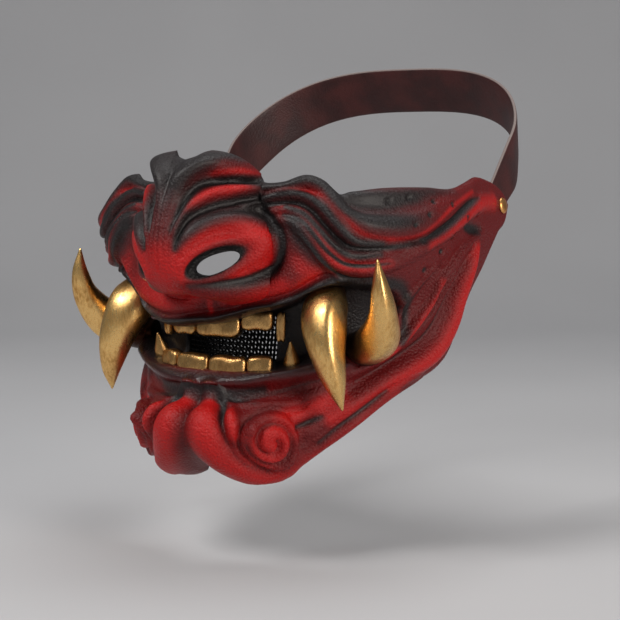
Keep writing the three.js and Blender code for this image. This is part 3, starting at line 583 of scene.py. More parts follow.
CHEEK_GROOVES = [
    [(61, 8.5, 2, 0.6), (62.6, 4.6, 3, 1.8), (67, 2.8, 3.4, 2.2), (74, 2, 3.6, 2.2), (84, 2, 3.6, 1.9),
     (94, 3.4, 3.4, 1.2), (104, 6, 3, 0.4)],
    [(26, 2, 1, 0.6), (33.5, 3.9, 1.1, 1.4), (40, 4, 1.2, 1.6), (46.8, 1.6, 1.3, 1.8), (53, -5, 1.3, 2),
     (58.4, -11.4, 1.4, 2), (63.4, -15.6, 1.4, 2), (70, -16.2, 1.3, 1.6), (80, -15.8, 1.2, 0.8)],
    [(84, -13, 1.4, 0.6), (97, -13.1, 1.5, 1.8), (105.5, -10.4, 1.6, 2.6), (117, -6, 1.6, 3),
     (130, -1, 1.6, 3),
     (141, 2.4, 1.5, 2.4), (150, 4.2, 1.2, 0.8)],
    [(133, -9, 2.2, 0.8), (140, -9.4, 2.8, 2.4), (147, -10.2, 2.6, 2.4), (153, -9.2, 2, 0.8)],
    [(96, -47, 3, 2), (98.6, -41, 3.4, 3.6), (103.6, -34, 3.2, 3.8), (109, -28, 2.4, 2.4),
     (114, -24, 1.6, 0.8)],
]
JAW_GROOVES = [
    [(146, -18, 1.2, 0.6), (136, -25, 1.6, 2), (129.8, -34, 1.8, 2.6), (124.6, -43, 1.8, 2.6),
     (118, -52, 1.8, 2.6),
     (110, -58, 1.6, 2.4), (100, -62.4, 1.5, 2.4), (90, -66.4, 1.5, 2.2), (80, -70.4, 1.5, 2),
     (68, -74.6, 1.4, 1.2)],
    [(92, -76.6, 1, 0.6), (83, -78.9, 1.3, 1.6), (73.4, -83.8, 1.4, 2), (64, -89, 1.4, 2),
     (55.6, -94.4, 1.4, 2),
     (49, -99.6, 1.4, 1.6), (43, -104.4, 1.2, 0.8)],
    [(42, -93, 1.4, 1.4), (47.3, -91, 1.5, 2), (51.2, -88.9, 1.4, 1.6), (57, -85.8, 1.2, 0.5)],
    [(36, -85, 1.2, 0.6), (41.8, -84.9, 1.4, 1.5), (46.2, -83.2, 1.4, 1.5), (52, -80.8, 1.2, 0.4)],
    [(9.2, -80.6, 1.3, 1.5), (12.4, -83.6, 1.5, 2.6), (14.8, -87.2, 1.5, 2.8), (16.6, -91, 1.3, 2.4),
     (18, -95.6, 1.1, 1.8), (19.6, -101, 1, 1.4), (23, -107, 1, 1.4), (30, -111.6, 1, 1.2)],
]
# Punched pits: u, v, radius, depth.
PITS = [
    (81, 4.6, 1.3, 1.1), (92, 5.8, 1.3, 1.1), (107, 3.4, 1.4, 1.2), (101, -2.6, 1.4, 1.2),
    (91, -6.6, 1.3, 1.0),
    (120, 1.6, 1.3, 1.1), (131, -4.6, 1.3, 1.1), (120, -12, 1.5, 1.3), (111, -18.6, 1.5, 1.3),
    (101, -26.4, 1.5, 1.3), (147, -3.4, 1.2, 1.0),
]
VOLUTE = {"u": 33.2, "v": -97.6, "radius": 12.4, "squeeze": 1.34, "height": 5.0}
NOSTRIL = {"u": 18.5, "v": -18.7, "half": 9.0, "narrow": 4.4, "turn": math.radians(30)}


def volute_line():
    """The groove of the chin's curl: round the disc from its upper left, then hooking twice into the middle."""
    share = np.linspace(0, 1, 48)
    turn = np.radians(162 + 590 * share)
    radius = curve([(0, 10.2), (0.2, 9.2), (0.45, 7.6), (0.66, 5.6), (0.82, 4), (1, 2.2)])(share)
    u = VOLUTE["u"] + radius * np.cos(turn) / VOLUTE["squeeze"]
    v = VOLUTE["v"] + radius * np.sin(turn)
    return np.stack([u, v, 1.15 - 0.3 * share, 3.2 * ease(0, 0.06, share)], axis=1)


def volute(u, v):
    """A raised disc with a rounded rim, a ring of groove round it, the spiral cut into it, and a small ball."""
    r = np.hypot((u - VOLUTE["u"]) * VOLUTE["squeeze"], v - VOLUTE["v"])
    share = r / VOLUTE["radius"]
    disc = VOLUTE["height"] * np.clip(1 - share**5, 0, None) ** 0.6
    rim = 1.8 * bell(share - 1.1, 0.08) * ease(0.55, 0.2, (u - VOLUTE["u"] + 4) / 30 + 0.2)
    ball = np.hypot((u - VOLUTE["u"] + 5.8) * VOLUTE["squeeze"], v - VOLUTE["v"] - 5.6)
    return disc - rim - sunk([volute_line()], u, v) + 2.2 * np.clip(1 - (ball / 2.6) ** 2, 0, None)


def nostril_share(u, v):
    """1 on the ellipse of the nostril, less inside it."""
    du, dv = u - NOSTRIL["u"], v - NOSTRIL["v"]
    along = du * math.cos(NOSTRIL["turn"]) + dv * math.sin(NOSTRIL["turn"])
    across = dv * math.cos(NOSTRIL["turn"]) - du * math.sin(NOSTRIL["turn"])
    return np.hypot(along / NOSTRIL["half"], across / NOSTRIL["narrow"])


def pits(u, v):
    """Round punched dents with flat floors."""
    total = np.zeros(u.shape)
    for pit_u, pit_v, radius, depth in PITS:
        gap = np.hypot(u - pit_u, v - pit_v)
        total += depth * np.exp(-((gap / radius) ** 4)) - 0.25 * bell(gap - 1.5 * radius, 0.5 * radius)
    return total


# %% The face as a surface
def roll(to_edge, radius):
    """How far a rounded edge has fallen away: a quarter circle of that radius."""
    share = np.clip(1 - to_edge / radius, 0, 1)
    return radius * (1 - np.sqrt(1 - share**2))


def pocket(u, v, margin=0.0):
    """Depth of the mouth's pocket between the upper lip and the gum, which ends past the lower tusk."""
    a = np.abs(u)
    inside = ease(-margin, 3.5, lip_line(u) - v) * ease(-margin, 3, v - gum_line(a))
    depth = MOUTH_DEPTH - 2.5 * ease(44, 56, a)
    return depth * inside * (1 - ease(MOUTH_END - 7, MOUTH_END + 1 + margin, a))


def nose_form(a, v, wall=0.0):
    """Forward reach of the nose: its reach at that height times (1 - across squared) to the power NOSE_ROUND."""
    across = np.clip(a / (nose_width(v) - wall * 1.3), 0, 1)
    return nose_reach(v - wall * 1.15) * (1 - across**2) ** NOSE_ROUND


def droop(bridge, v):
    """The nose's tip hangs, and the droop fades out up the bridge."""
    return NOSE_DROOP * bridge / NOSE_TIP * (1 - ease(-24, 0, v))


def lips(u, v):
    """The mound over the upper lip, its thin rolled edge, the lower lip's roll and the crease under it."""
    a, lip = np.abs(u), v - lip_line(u)
    upper = 4 * bell(lip - 9, 6.5) * ease(2, 14, a) * (1 - ease(40, 56, a))
    edge = 2.3 * bell(lip - 1.5, 1.35) - 1.5 * bell(lip - 4.5, 1.2)
    gap = v - lower_lip_line(a)
    lower = 4 * bell(gap, 4.2) * (1 - ease(56, 74, a))
    crease = 3 * bell(gap + 7.5, 3.5) * (1 - ease(40, 64, a))
    return upper + edge * (1 - ease(52, 64, a)) + lower - crease


# How deep a groove and the dip round a nostril may go before they come too near the inside of the wall.
GROOVE_LIMIT = 2.0
NOSTRIL_DIP = 2.6


def carving(u, v):
    """Everything that stands on the plain face or is cut into it. Both sides are alike but for the lip."""
    a = np.abs(u)
    relief = lips(u, v) + volute(a, v) - pits(a, v)
    relief += raised(CHEEK_STRANDS + JAW_STRANDS + NOSE_FOLDS, a, v)
    relief -= sunk(CHEEK_GROOVES + JAW_GROOVES + NOSE_GROOVES, a, v)
    relief = np.maximum(relief, -GROOVE_LIMIT)
    share = nostril_share(a, v)
    return relief + 1.2 * bell(share - 1.35, 0.3) - NOSTRIL_DIP * (1 - ease(0.7, 1.12, share))


def outer_wall(u, v):
    """The plain face with nose and chin, then the carving along its normals, then the pocket and the rolled
    edges along the level way out."""
    a = np.abs(u)
    plain, out = head_form(u, v)
    bridge = nose_form(a, v)
    plain[..., 1] -= bridge + chin_reach(v) * (1 - ease(20, 52, a))
    plain[..., 2] -= droop(bridge, v)
    top_roll = 2.5 + 7 * (1 - ease(18, 30, a))
    bottom_roll = 3 + 9 * (1 - ease(36, 70, a))
    level = pocket(u, v) + roll(v - bottom_edge(a), bottom_roll) + roll(top_edge(a) - v, top_roll)
    return plain + surface_normals(plain) * carving(u, v)[..., None] - out * level[..., None]


def inner_wall(u, v):
    """A smooth wall's thickness inside the face, without its carving."""
    a = np.abs(u)
    low, high = bottom_edge(a), top_edge(a)
    margin = np.minimum(WALL, 0.4 * (high - low))
    level = low + margin + (high - low - 2 * margin) * (v - low) / (high - low)
    plain, out = head_form(u, level)
    bridge = nose_form(a, level, WALL)
    plain[..., 1] -= bridge + chin_reach(level) * (1 - ease(20, 46, a)) * 0.9
    plain[..., 2] -= droop(bridge, level)
    top_roll = np.maximum(2.5 + 7 * (1 - ease(18, 30, a)) - WALL, 0.5)
    bottom_roll = np.maximum(3 + 9 * (1 - ease(36, 70, a)) - WALL, 0.5)
    depth = WALL + roll(level - low - margin, bottom_roll) + roll(high - margin - level, top_roll)
    return plain - out * (depth + pocket(u, level, POCKET_MARGIN))[..., None]


# %% The grid of the face
FRONT_U = 78
FRONT_COLUMNS = 115
SIDE_COLUMNS = 95
BAND_ROWS = (56, 32, 28, 84)
KEEP_COLUMN = 3
KEEP_ROW = 4
SLOT_HALF = 30
SLOT_ROWS = (60, 80)


def face_columns():
    """Columns from tab to tab, closer together over the front of the face."""
    front = np.linspace(0, FRONT_U, FRONT_COLUMNS + 1)
    side = np.linspace(FRONT_U, TAB_END, SIDE_COLUMNS + 1)[1:]
    half = np.concatenate([front, side])
    return np.concatenate([-half[:0:-1], half])


def face_rows(columns):
    """Heights of the rows in each column: they bunch up a little at the edges, the lips and the nose's foot."""
    a = np.abs(columns)
    gum, lip, nose_foot = (line(a) for line in guide_lines)
    marks = [bottom_edge(a), gum, lip - sag(columns), nose_foot, top_edge(a)]
    rows = [marks[0]]
    for low, high, count in zip(marks[:-1], marks[1:], BAND_ROWS):
        even = np.arange(1, count + 1) / count
        share = even + 0.6 * ((1 - np.cos(math.pi * even)) / 2 - even)
        rows += [low + (high - low) * s for s in share]
    return np.stack(rows, axis=1)


columns = face_columns()
sheet_v = face_rows(columns)
sheet_u = np.repeat(columns[:, None], sheet_v.shape[1], axis=1)
outer = outer_wall(sheet_u, sheet_v)
inner = inner_wall(sheet_u[::KEEP_COLUMN, ::KEEP_ROW], sheet_v[::KEEP_COLUMN, ::KEEP_ROW])
print("face grid", outer.shape, "inner", inner.shape)


def seam(long_edge, short_edge):
    """Triangles between an edge of the outer grid and the same edge of the inner one, which has fewer points."""
    many = (len(long_edge) - 1) // (len(short_edge) - 1)
    steps = np.arange(len(long_edge) - 1)
    owner = short_edge[(steps + (many + 1) // 2) // many]
    fans = np.stack([long_edge[:-1], long_edge[1:], owner], axis=1)
    turns = np.arange(len(short_edge) - 1) * many + many // 2
    links = np.stack([long_edge[turns], short_edge[1:], short_edge[:-1]], axis=1)
    return np.concatenate([fans, links])


def shell_mesh():
    """Outer and inner walls joined round the rim, and round the mouth's slot."""
    count_u, count_v = outer.shape[:2]
    inner_u, inner_v = inner.shape[:2]
    outer_id = np.arange(count_u * count_v).reshape(count_u, count_v)
    inner_id = np.arange(inner_u * inner_v).reshape(inner_u, inner_v) + count_u * count_v
    middle = count_u // 2
    half = int(np.searchsorted(columns[middle:], SLOT_HALF)) // KEEP_COLUMN * KEEP_COLUMN
    left, right_end = middle - half, middle + half
    low, high = SLOT_ROWS

    def walls(ids, hole, flip):
        quads = np.stack([ids[:-1, :-1], ids[1:, :-1], ids[1:, 1:], ids[:-1, 1:]], axis=-1)
        keep = np.ones(quads.shape[:2], dtype=bool)
        keep[hole[0]:hole[1], hole[2]:hole[3]] = False
        quads = quads[keep]
        return quads[:, ::-1] if flip else quads

    hole = (left, right_end, low, high)
    inner_hole = tuple(n // k for n, k in zip(hole, (KEEP_COLUMN, KEEP_COLUMN, KEEP_ROW, KEEP_ROW)))
    quads = np.concatenate([walls(outer_id, hole, False), walls(inner_id, inner_hole, True)])
    u_cut, v_cut = slice(left, right_end + 1), slice(low, high + 1)
    iu_cut = slice(inner_hole[0], inner_hole[1] + 1)
    iv_cut = slice(inner_hole[2], inner_hole[3] + 1)
    seams = [
        seam(outer_id[:, 0], inner_id[:, 0])[:, ::-1],
        seam(outer_id[:, -1], inner_id[:, -1]),
        seam(outer_id[0], inner_id[0]),
        seam(outer_id[-1], inner_id[-1])[:, ::-1],
        seam(outer_id[u_cut, low], inner_id[iu_cut, inner_hole[2]]),
        seam(outer_id[u_cut, high], inner_id[iu_cut, inner_hole[3]])[:, ::-1],
        seam(outer_id[left, v_cut], inner_id[inner_hole[0], iv_cut])[:, ::-1],
        seam(outer_id[right_end, v_cut], inner_id[inner_hole[1], iv_cut]),
    ]
    faces = quads.tolist() + np.concatenate(seams).tolist()
    points = np.concatenate([outer.reshape(-1, 3), inner.reshape(-1, 3)])
    used = np.unique(np.concatenate([quads.ravel(), np.concatenate(seams).ravel()]))
    number = np.full(len(points), -1)
    number[used] = np.arange(len(used))
    return points[used], [[int(number[k]) for k in face] for face in faces], used


# %% Airbrush strokes: u, v, half width, strength
def along(line, lift, width, strength, last):
    """A stroke that follows one of the face's own lines, lifted by `lift`, from the middle to u = last."""
    u = np.linspace(0, last, 14)
    return np.stack([u, line(u) + lift, np.full(14, width), np.full(14, strength)], axis=1)


BLACK_STROKES = [
    [(0, 26, 14, 0.95), (0, 14, 12, 0.85), (0, 3, 10, 0.65), (0, -7, 9, 0.4), (0, -15, 7, 0.1)],
    [(4, 12, 4, 0.6), (9, 20, 5, 0.75), (14, 23, 4, 0.8), (18, 21, 2.6, 0.6)],
    [(5.6, -6, 1.4, 0.6), (7, -1, 1.7, 0.9), (8.4, 6, 1.9, 0.95), (11.6, 11.2, 2, 1), (17, 12.8, 2, 1),
     (24, 12.2, 2, 0.9)],
    [(7.6, -13, 1.2, 0.6), (8.8, -8, 1.7, 0.9), (10.8, -2.4, 1.9, 1), (14.8, 1, 2, 1), (19, 3.4, 2.2, 1),
     (26, 5, 2.4, 0.95)],
    [(9, -12.4, 2.2, 0.4), (12, -7, 3, 0.75), (17, -2.4, 3.4, 0.85), (23, -0.4, 3.6, 0.85),
     (28, -2.6, 3.4, 0.8),
     (32, -8, 2.4, 0.6)],
    # Painted shade: black in the deep crease round the nose's wing.
    [(27, 1, 2.4, 0.8), (32, -3.6, 2.6, 0.9), (35.4, -9.5, 2.6, 0.95), (36, -16, 2.6, 0.95),
     (33.6, -23.4, 2.6, 0.95),
     (28, -27, 2.3, 0.9), (20, -28, 2, 0.85), (10, -27.4, 1.7, 0.6)],
    [(41, -5, 6, 0.85), (45, -12, 6, 0.8), (49, -18, 5.6, 0.55)],
    [(26, 10.6, 4, 1), (36, 11, 3, 1), (46, 13, 3.4, 1), (53, 9.6, 3.2, 1), (58, 3.6, 3, 1), (63, -1, 3.4, 1),
     (70, -4, 4.4, 1), (80, -5, 5, 0.95), (92, -4.6, 5, 0.7), (104, -2, 5, 0.4)],
    [(60, 8, 5, 1), (70, 5, 6, 1), (82, 5, 6, 0.95), (94, 6, 5.4, 0.85), (108, 8, 5, 0.7), (126, 8, 4, 0.5)],
    [(26, 4.4, 1.8, 0.9), (34, 6, 1.5, 0.9), (44, 6.3, 1.6, 0.95), (52, 1.2, 1.8, 0.95), (58, -6, 1.9, 0.95),
     (65, -12, 2, 0.95), (76, -14, 2, 0.8)],
    [(26, 2, 1.4, 1), (40, 3.6, 1.5, 1), (46.8, 1.2, 1.6, 1), (53, -5.4, 1.7, 1), (58.4, -11.8, 1.8, 1),
     (63.4, -15.2, 1.8, 1), (72, -15.8, 1.7, 1), (86, -15, 2, 0.8), (98, -13.4, 1.8, 0.7)],
    [(38, 1.4, 0.9, 0.8), (45, -1.2, 1, 0.9), (50.6, -6.8, 1.1, 0.9), (57, -13.8, 1.2, 0.9),
     (64, -18.2, 1.3, 0.9),
     (76, -18.4, 1.4, 0.7)],
    # Painted shade: thin black lines in the creases between the cheek strands, which make the strands read crisper.
    [(37, -1.8, 0.7, 0.7), (44.8, -4.6, 0.7, 0.9), (50, -10.3, 0.8, 0.95), (55.6, -16.8, 0.8, 0.95),
     (61.2, -21, 0.8, 0.95), (69, -22.3, 0.8, 0.85), (80, -21.6, 0.7, 0.5)],
    [(41, -7.6, 0.8, 0.6), (46, -11.6, 0.8, 0.9), (50.4, -16.8, 0.9, 0.95), (56, -23.6, 0.9, 0.95),
     (61, -27.2, 0.9, 0.95), (67, -28.8, 0.9, 0.8), (78, -28, 0.8, 0.5)],
    [(97, -13.1, 1.3, 0.9), (105.5, -10.4, 1.6, 1), (117, -6, 1.8, 1), (130, -1, 1.8, 1), (141, 2.4, 1.6, 1),
     (150, 4.2, 1.2, 0.5)],
    [(134, -9, 2.4, 0.7), (140, -9.4, 3.2, 0.95), (147, -10.2, 3.2, 0.95), (153, -10, 2.4, 0.6)],
    [(58, -31, 4, 0.9), (66, -32, 4.6, 0.95), (78, -32, 5.4, 0.95), (88, -33, 4.4, 0.85), (94, -40, 4, 0.8),
     (95, -50, 3.6, 0.8), (92, -58, 3, 0.7)],
    [(96, -46, 2.2, 0.6), (99, -40, 2.4, 0.7), (104, -33.4, 2.2, 0.7), (110, -28, 1.6, 0.5)],
    [(114, -40, 1.2, 0.45), (109, -47, 1.2, 0.5), (102, -54, 1.2, 0.45)],
    [(134, -27, 1.3, 0.4), (129.8, -34, 1.4, 0.6), (124.6, -43, 1.4, 0.65), (118, -52, 1.4, 0.65),
     (110, -58, 1.3, 0.6),
     (100, -62.4, 1.2, 0.6), (90, -66.4, 1.2, 0.6), (80, -70.4, 1.2, 0.5), (68, -74.6, 1.2, 0.4)],
    [(83, -78.9, 1.1, 0.5), (73.4, -83.8, 1.2, 0.7), (64, -89, 1.2, 0.7), (55.6, -94.4, 1.2, 0.7),
     (49, -99.6, 1.2, 0.6)],
    [(42, -93, 1.3, 0.7), (47.3, -91, 1.4, 0.8), (51.2, -88.9, 1.2, 0.6)],
    [(10, -80, 1.5, 0.7), (12.8, -83.2, 1.7, 0.9), (14.8, -87, 1.4, 0.8), (16.6, -91, 1.1, 0.6),
     (18, -95.6, 0.9, 0.35),
     (19.6, -101, 0.8, 0.3), (23, -107, 0.8, 0.35), (30, -111.6, 0.8, 0.3)],
    [(13, -80.4, 1.3, 0.6), (20, -81, 1.3, 0.6), (28, -82, 1, 0.4)],
    along(lower_lip_line, 1.5, 4.2, 0.75, 60),
    along(lower_lip_line, -4.4, 1.8, 0.8, 27),
    along(lower_lip_line, -6.6, 1.2, 0.5, 58),
    along(lip_height, 1.2, 2.3, 1, 64),
]
# Painted highlight: strokes of bright red on what stands proud, where the light catches the relief.
PAINTED_HIGHLIGHT_STROKES = [
    [(0, -17, 9, 0.9), (0, -28, 9, 1)],
    [(8, -20, 4.6, 1), (12, -14, 4, 1), (18, -9.4, 3.8, 1), (25, -8, 3.8, 1), (30, -13, 3.8, 1),
     (29.4, -20, 3.8, 1),
     (24, -25, 3, 0.9)],
    [(0, -34, 1.6, 1), (0, -45, 1.6, 1)],
    [(8, -37, 5, 0.75), (24, -34.6, 5, 0.75), (36, -31, 5, 0.8)],
    [(14, 15.6, 2, 0.7), (18, 15.6, 2.2, 0.9), (22, 14.6, 1.8, 0.8)],
    [(8.6, -3, 1.2, 0.6), (11.4, 3.6, 1.9, 0.9), (15.4, 7.4, 2.4, 1), (21, 8.6, 2.6, 1), (27, 7.6, 2, 0.8)],
    [(44, -20, 5, 0.6), (48, -26, 5, 0.85), (45, -31, 5, 0.85)],
    [(36, 8.6, 1.2, 0.5), (46, 8, 1.3, 0.7), (53, 5, 1.3, 0.8), (60, -2, 1.3, 0.8), (67, -9, 1.4, 0.8),
     (77, -11.6, 1.4, 0.8), (90, -11.6, 1.5, 0.7), (101, -8, 1.6, 0.7), (122, 1.4, 1.6, 0.7),
     (146, 7, 1.6, 0.6)],
    [(31, 2.2, 0.8, 0.7), (45.7, 0.2, 0.9, 0.9), (52.3, -7, 0.9, 0.9), (59, -14.4, 1, 0.9),
     (70, -17.4, 1, 0.8)],
    [(36, -1.6, 1.8, 0.7), (44, -4.4, 2.4, 0.9), (51, -11.6, 2.6, 0.9), (58, -19.8, 2.6, 0.9),
     (68, -22.6, 2.4, 0.8),
     (80, -21.6, 2.4, 0.6)],
    [(100, -15, 2.6, 0.6), (121, -8, 3, 0.7), (136, -3, 3, 0.8), (152, 1, 4, 0.8), (172, 2, 5, 0.8)],
    [(146, -19, 4, 0.8), (139.2, -33, 5, 1), (136, -42, 6, 1), (133, -50, 6, 1), (127, -58.5, 6, 1),
     (118, -65, 5, 1), (104, -70, 4.4, 0.9), (85.5, -76, 4, 0.8), (70, -83, 4, 0.7), (55, -90, 4, 0.7)],
    [(114, -31, 1.8, 0.6), (110.5, -40.5, 1.8, 0.7), (102, -50.6, 2, 0.8), (93, -58.6, 2, 0.8),
     (80, -65.6, 2, 0.6)],
    [(89, -82, 4, 0.5), (62, -96, 4, 0.6), (40, -112, 4, 0.8), (28, -115, 5, 0.9), (17, -109, 7, 1),
     (12, -101, 8, 1), (10, -92, 7.6, 1), (7, -84, 6, 1), (5, -80, 4.4, 1)],
    [(17.8, -86, 2, 0.8), (20.8, -90, 2.2, 0.9), (21.8, -95, 1.8, 0.8)],
    [(30, -103, 6.4, 1), (33, -97.6, 8, 1), (37, -93, 6.4, 1)],
    [(40, -87, 4, 0.8), (50, -84, 4.4, 0.8), (60, -79, 4, 0.7)],
]
PITTED = [(pit_u, pit_v, radius) for pit_u, pit_v, radius, _ in PITS]


def face_paint(u, v):
    """How bare of black, how bright, how glossy each point of the outer wall is, and its sheen: 0 to 1.
    The black is partly the mask's own paint and partly painted shade in the grooves, creases, pits and nostril
    dips, and it also fills the mouth's pocket. The bright red is a painted highlight on what stands proud. A sheen
    of 0 in the nostril dips gives the darker black of painted shade. Near the lip the strokes sag with it."""
    a, lip = np.abs(u), v - lip_line(u)
    painted_v = v + sag(u) * bell(lip - 2, 12)
    black_and_shade = sprayed(BLACK_STROKES, a, painted_v)
    mouth = ease(0.5, 4, pocket(u, v))
    # Painted shade: the nostril dip is made black, and the sheen layer of 0 there makes it the darker, dull black.
    hollow = 1 - ease(0.9, 1.16, nostril_share(a, v))
    # Painted shade: a little black in the groove of the chin's curl.
    curl = sunk([volute_line()], a, v) / 2.6
    black_and_shade = 1 - (1 - black_and_shade) * (1 - mouth) * (1 - hollow) * (1 - 0.35 * np.clip(curl, 0, 1))
    # Painted shade: the punched pits are made black.
    for pit_u, pit_v, radius in PITTED:
        black_and_shade = np.maximum(black_and_shade, np.exp(-((np.hypot(a - pit_u, v - pit_v) / radius) ** 4)))
    bright = sprayed(PAINTED_HIGHLIGHT_STROKES, a, painted_v)
    lower = bell(v - lower_lip_line(a), 4.5) * (1 - ease(50, 70, a))
    gloss = bell(lip - 1.2, 2.4) * (1 - ease(60, 68, a)) + lower
    return 1 - black_and_shade, bright * (1 - black_and_shade), np.clip(gloss + 0.3 * mouth, 0, 1), 1 - hollow


# %% [markdown]
# ## The paper of the backdrop
# Studio paper is matt and never quite one grey. A tone that drifts slowly over it keeps the ground from looking
# like a flat computer grey, and gives the floor's shadow something to fall on.

# %% Studio paper
def studio_paper():
    """The matt grey paper of the backdrop, with a slow change of tone."""
    paper = Finish("studio_paper", Roughness=0.9, Specular_IOR_Level=0.2)
    tone = paper.blend(paper.noise(220, detail=1), (0.46, 0.46, 0.47, 1), (0.52, 0.52, 0.53, 1))
    return paper.finish(Base_Color=tone)


floor.data.materials.append(studio_paper())

# %% [markdown]
# ## Cast resin, airbrushed red and black
# The shell is a resin cast with a fine skin of pores, painted satin. The red is two reds, a deep one all over and
# a bright one where the relief stands proud, which is a painted highlight. Black is misted into the grooves and
# over the crests, partly as the mask's own paint and partly as painted shade in the grooves, creases and nostrils.
# A mist has no sharp edge but breaks into droplets, so grain is added to the amount of black before it is cut
# into a soft step.

# %% Painted resin
def painted_resin():
    paint = Finish("painted_resin", Coat_Roughness=0.42, Specular_IOR_Level=0.3)
    grain = paint.noise(0.42, detail=3, roughness=0.7)
    cloud = paint.noise(9, detail=2)
    pores = paint.node("TexVoronoi", {"Vector": paint.place(), "Scale": 1 / (1.15 * MM)}, output="Distance")
    wrinkle = paint.noise(0.9, detail=4, roughness=0.65)
    bare, bright, gloss, sheen_and_shade = (paint.layer(name) for name in ("bare", "bright", "gloss", "sheen_and_shade"))
    black_and_shade = 1.0 - bare
    misted = paint.ease(black_and_shade + 0.5 * (grain - 0.5) + 0.2 * (cloud - 0.5), 0.16, 0.9)
    # Painted highlight: the bright red where the relief stands proud.
    lit = paint.ease(bright + 0.34 * (grain - 0.5) + 0.25 * (cloud - 0.5), 0.1, 0.95)
    red = paint.blend(lit, (0.115, 0.0022, 0.0026, 1), (0.42, 0.0045, 0.0040, 1))
    # Painted shade: where the sheen layer is 0, in the nostril dips, on the inner wall and on the walls of the drilled
    # holes, the black is darker.
    black = paint.blend(sheen_and_shade, (0.002, 0.0016, 0.0016, 1), (0.0095, 0.0062, 0.0066, 1))
    colour = paint.blend(misted, red, black)
    roughness = 0.46 + 0.16 * (cloud - 0.5) + 0.12 * (grain - 0.5) - 0.16 * gloss
    skin = (0.9 * wrinkle - 0.9 * pores) * (1.0 - 0.6 * gloss)
    return paint.finish(
        Base_Color=colour, Roughness=roughness, Coat_Weight=sheen_and_shade * (0.05 + 0.2 * misted), Normal=paint.bump(skin, 0.5, 0.9)
    )


# %% The shell as an object, with its nostrils and rivet holes drilled
def prism(outline, near, far):
    """A closed prism between two copies of an outline, one at each end."""
    rings = np.stack([outline + near, outline + far])
    points, faces = closed_tube(rings)
    return points, facing_out(points, faces)


RIVET_U = 184
RIVET_HOLE = 2.3
NOSTRIL_DROP = 2.8
FORWARD = np.array([0, -1.0, 0])


def rivet_seat(side):
    """Where a rivet goes through its ear tab, and the way straight out of the tab there."""
    spot = lambda u, v: head_form(np.array(u, dtype=float), np.array(v, dtype=float))[0]
    point = spot(side * RIVET_U, 0)
    out = np.cross(spot(side * (RIVET_U + 1), 0) - point, spot(side * RIVET_U, 1) - point) * side
    return point, out / np.linalg.norm(out)


def across_pair(direction):
    """Two unit vectors square to a direction and to each other."""
    first = np.cross(direction, [0, 0, 1.0])
    first /= np.linalg.norm(first)
    return first, np.cross(first, direction)


def drills():
    """A slanted elliptic prism for each nostril and a round one for each rivet."""
    turn = np.linspace(0, 2 * math.pi, 48, endpoint=False)
    made = []
    for side in (-1, 1):
        centre = head_form(np.array(side * NOSTRIL["u"]), np.array(NOSTRIL["v"]))[0]
        along_x = 0.86 * NOSTRIL["half"] * np.cos(turn)
        across_z = 0.86 * NOSTRIL["narrow"] * np.sin(turn)
        x = along_x * math.cos(NOSTRIL["turn"]) - across_z * math.sin(NOSTRIL["turn"])
        z = along_x * math.sin(NOSTRIL["turn"]) + across_z * math.cos(NOSTRIL["turn"])
        ring = np.stack([centre[0] + side * x, 0 * x, NOSTRIL["v"] - NOSTRIL_DROP + z], axis=1)
        made.append(prism(ring, 155 * FORWARD, 92 * FORWARD))
        point, out = rivet_seat(side)
        first, second = across_pair(out)
        circle = RIVET_HOLE * (np.cos(turn)[:, None] * first + np.sin(turn)[:, None] * second)
        made.append(prism(point + circle, 8 * out, -14 * out))
    return made


def drilled(obj, cutters):
    """The object with each closed cutter taken out of it by a Boolean modifier, which is then applied."""
    for number, (points, faces) in enumerate(cutters):
        cutter = put_mesh(f"drill_{number}", points, faces)
        cut = obj.modifiers.new("drill", "BOOLEAN")
        cut.operation = "DIFFERENCE"
        cut.solver = "MANIFOLD"
        cut.object = cutter
        depsgraph = bpy.context.evaluated_depsgraph_get()
        mesh = bpy.data.meshes.new_from_object(obj.evaluated_get(depsgraph))
        if len(mesh.vertices) == len(obj.data.vertices):
            raise RuntimeError(f"drill {number} cut nothing")
        obj.modifiers.clear()
        obj.data = mesh
        bpy.data.objects.remove(cutter)


shell_points, shell_faces, shell_used = shell_mesh()
face_shell = put_mesh("demon_face", shell_points, facing_out(shell_points, shell_faces))
# Zero in every layer is black, dull and the darker black of painted shade, which suits the inner wall and the walls of
# the drilled holes.
for name, layer in zip(("bare", "bright", "gloss", "sheen_and_shade"), face_paint(sheet_u, sheet_v)):
    both_walls = np.concatenate([layer.ravel(), np.zeros(inner.shape[0] * inner.shape[1])])
    paint_values(face_shell, **{name: both_walls[shell_used]})
before = len(face_shell.data.vertices)
drilled(face_shell, drills())
print("drilled:", before, "->", len(face_shell.data.vertices), [a.name for a in face_shell.data.attributes])
settle(face_shell, "red_resin", painted_resin(), "face_shell")

# %% [markdown]
# ## Tusks, pegs and fangs
# The four tusks are cast, painted gold and rubbed back so that brown stays in the hollows. A tusk could be a bent
# cone, but a real one is not round: it has a soft ridge down its outer side with a flatter face beside it, and
# that ridge is what splits the highlight. Each is a ring carried along a smooth path and shrunk towards the tip.

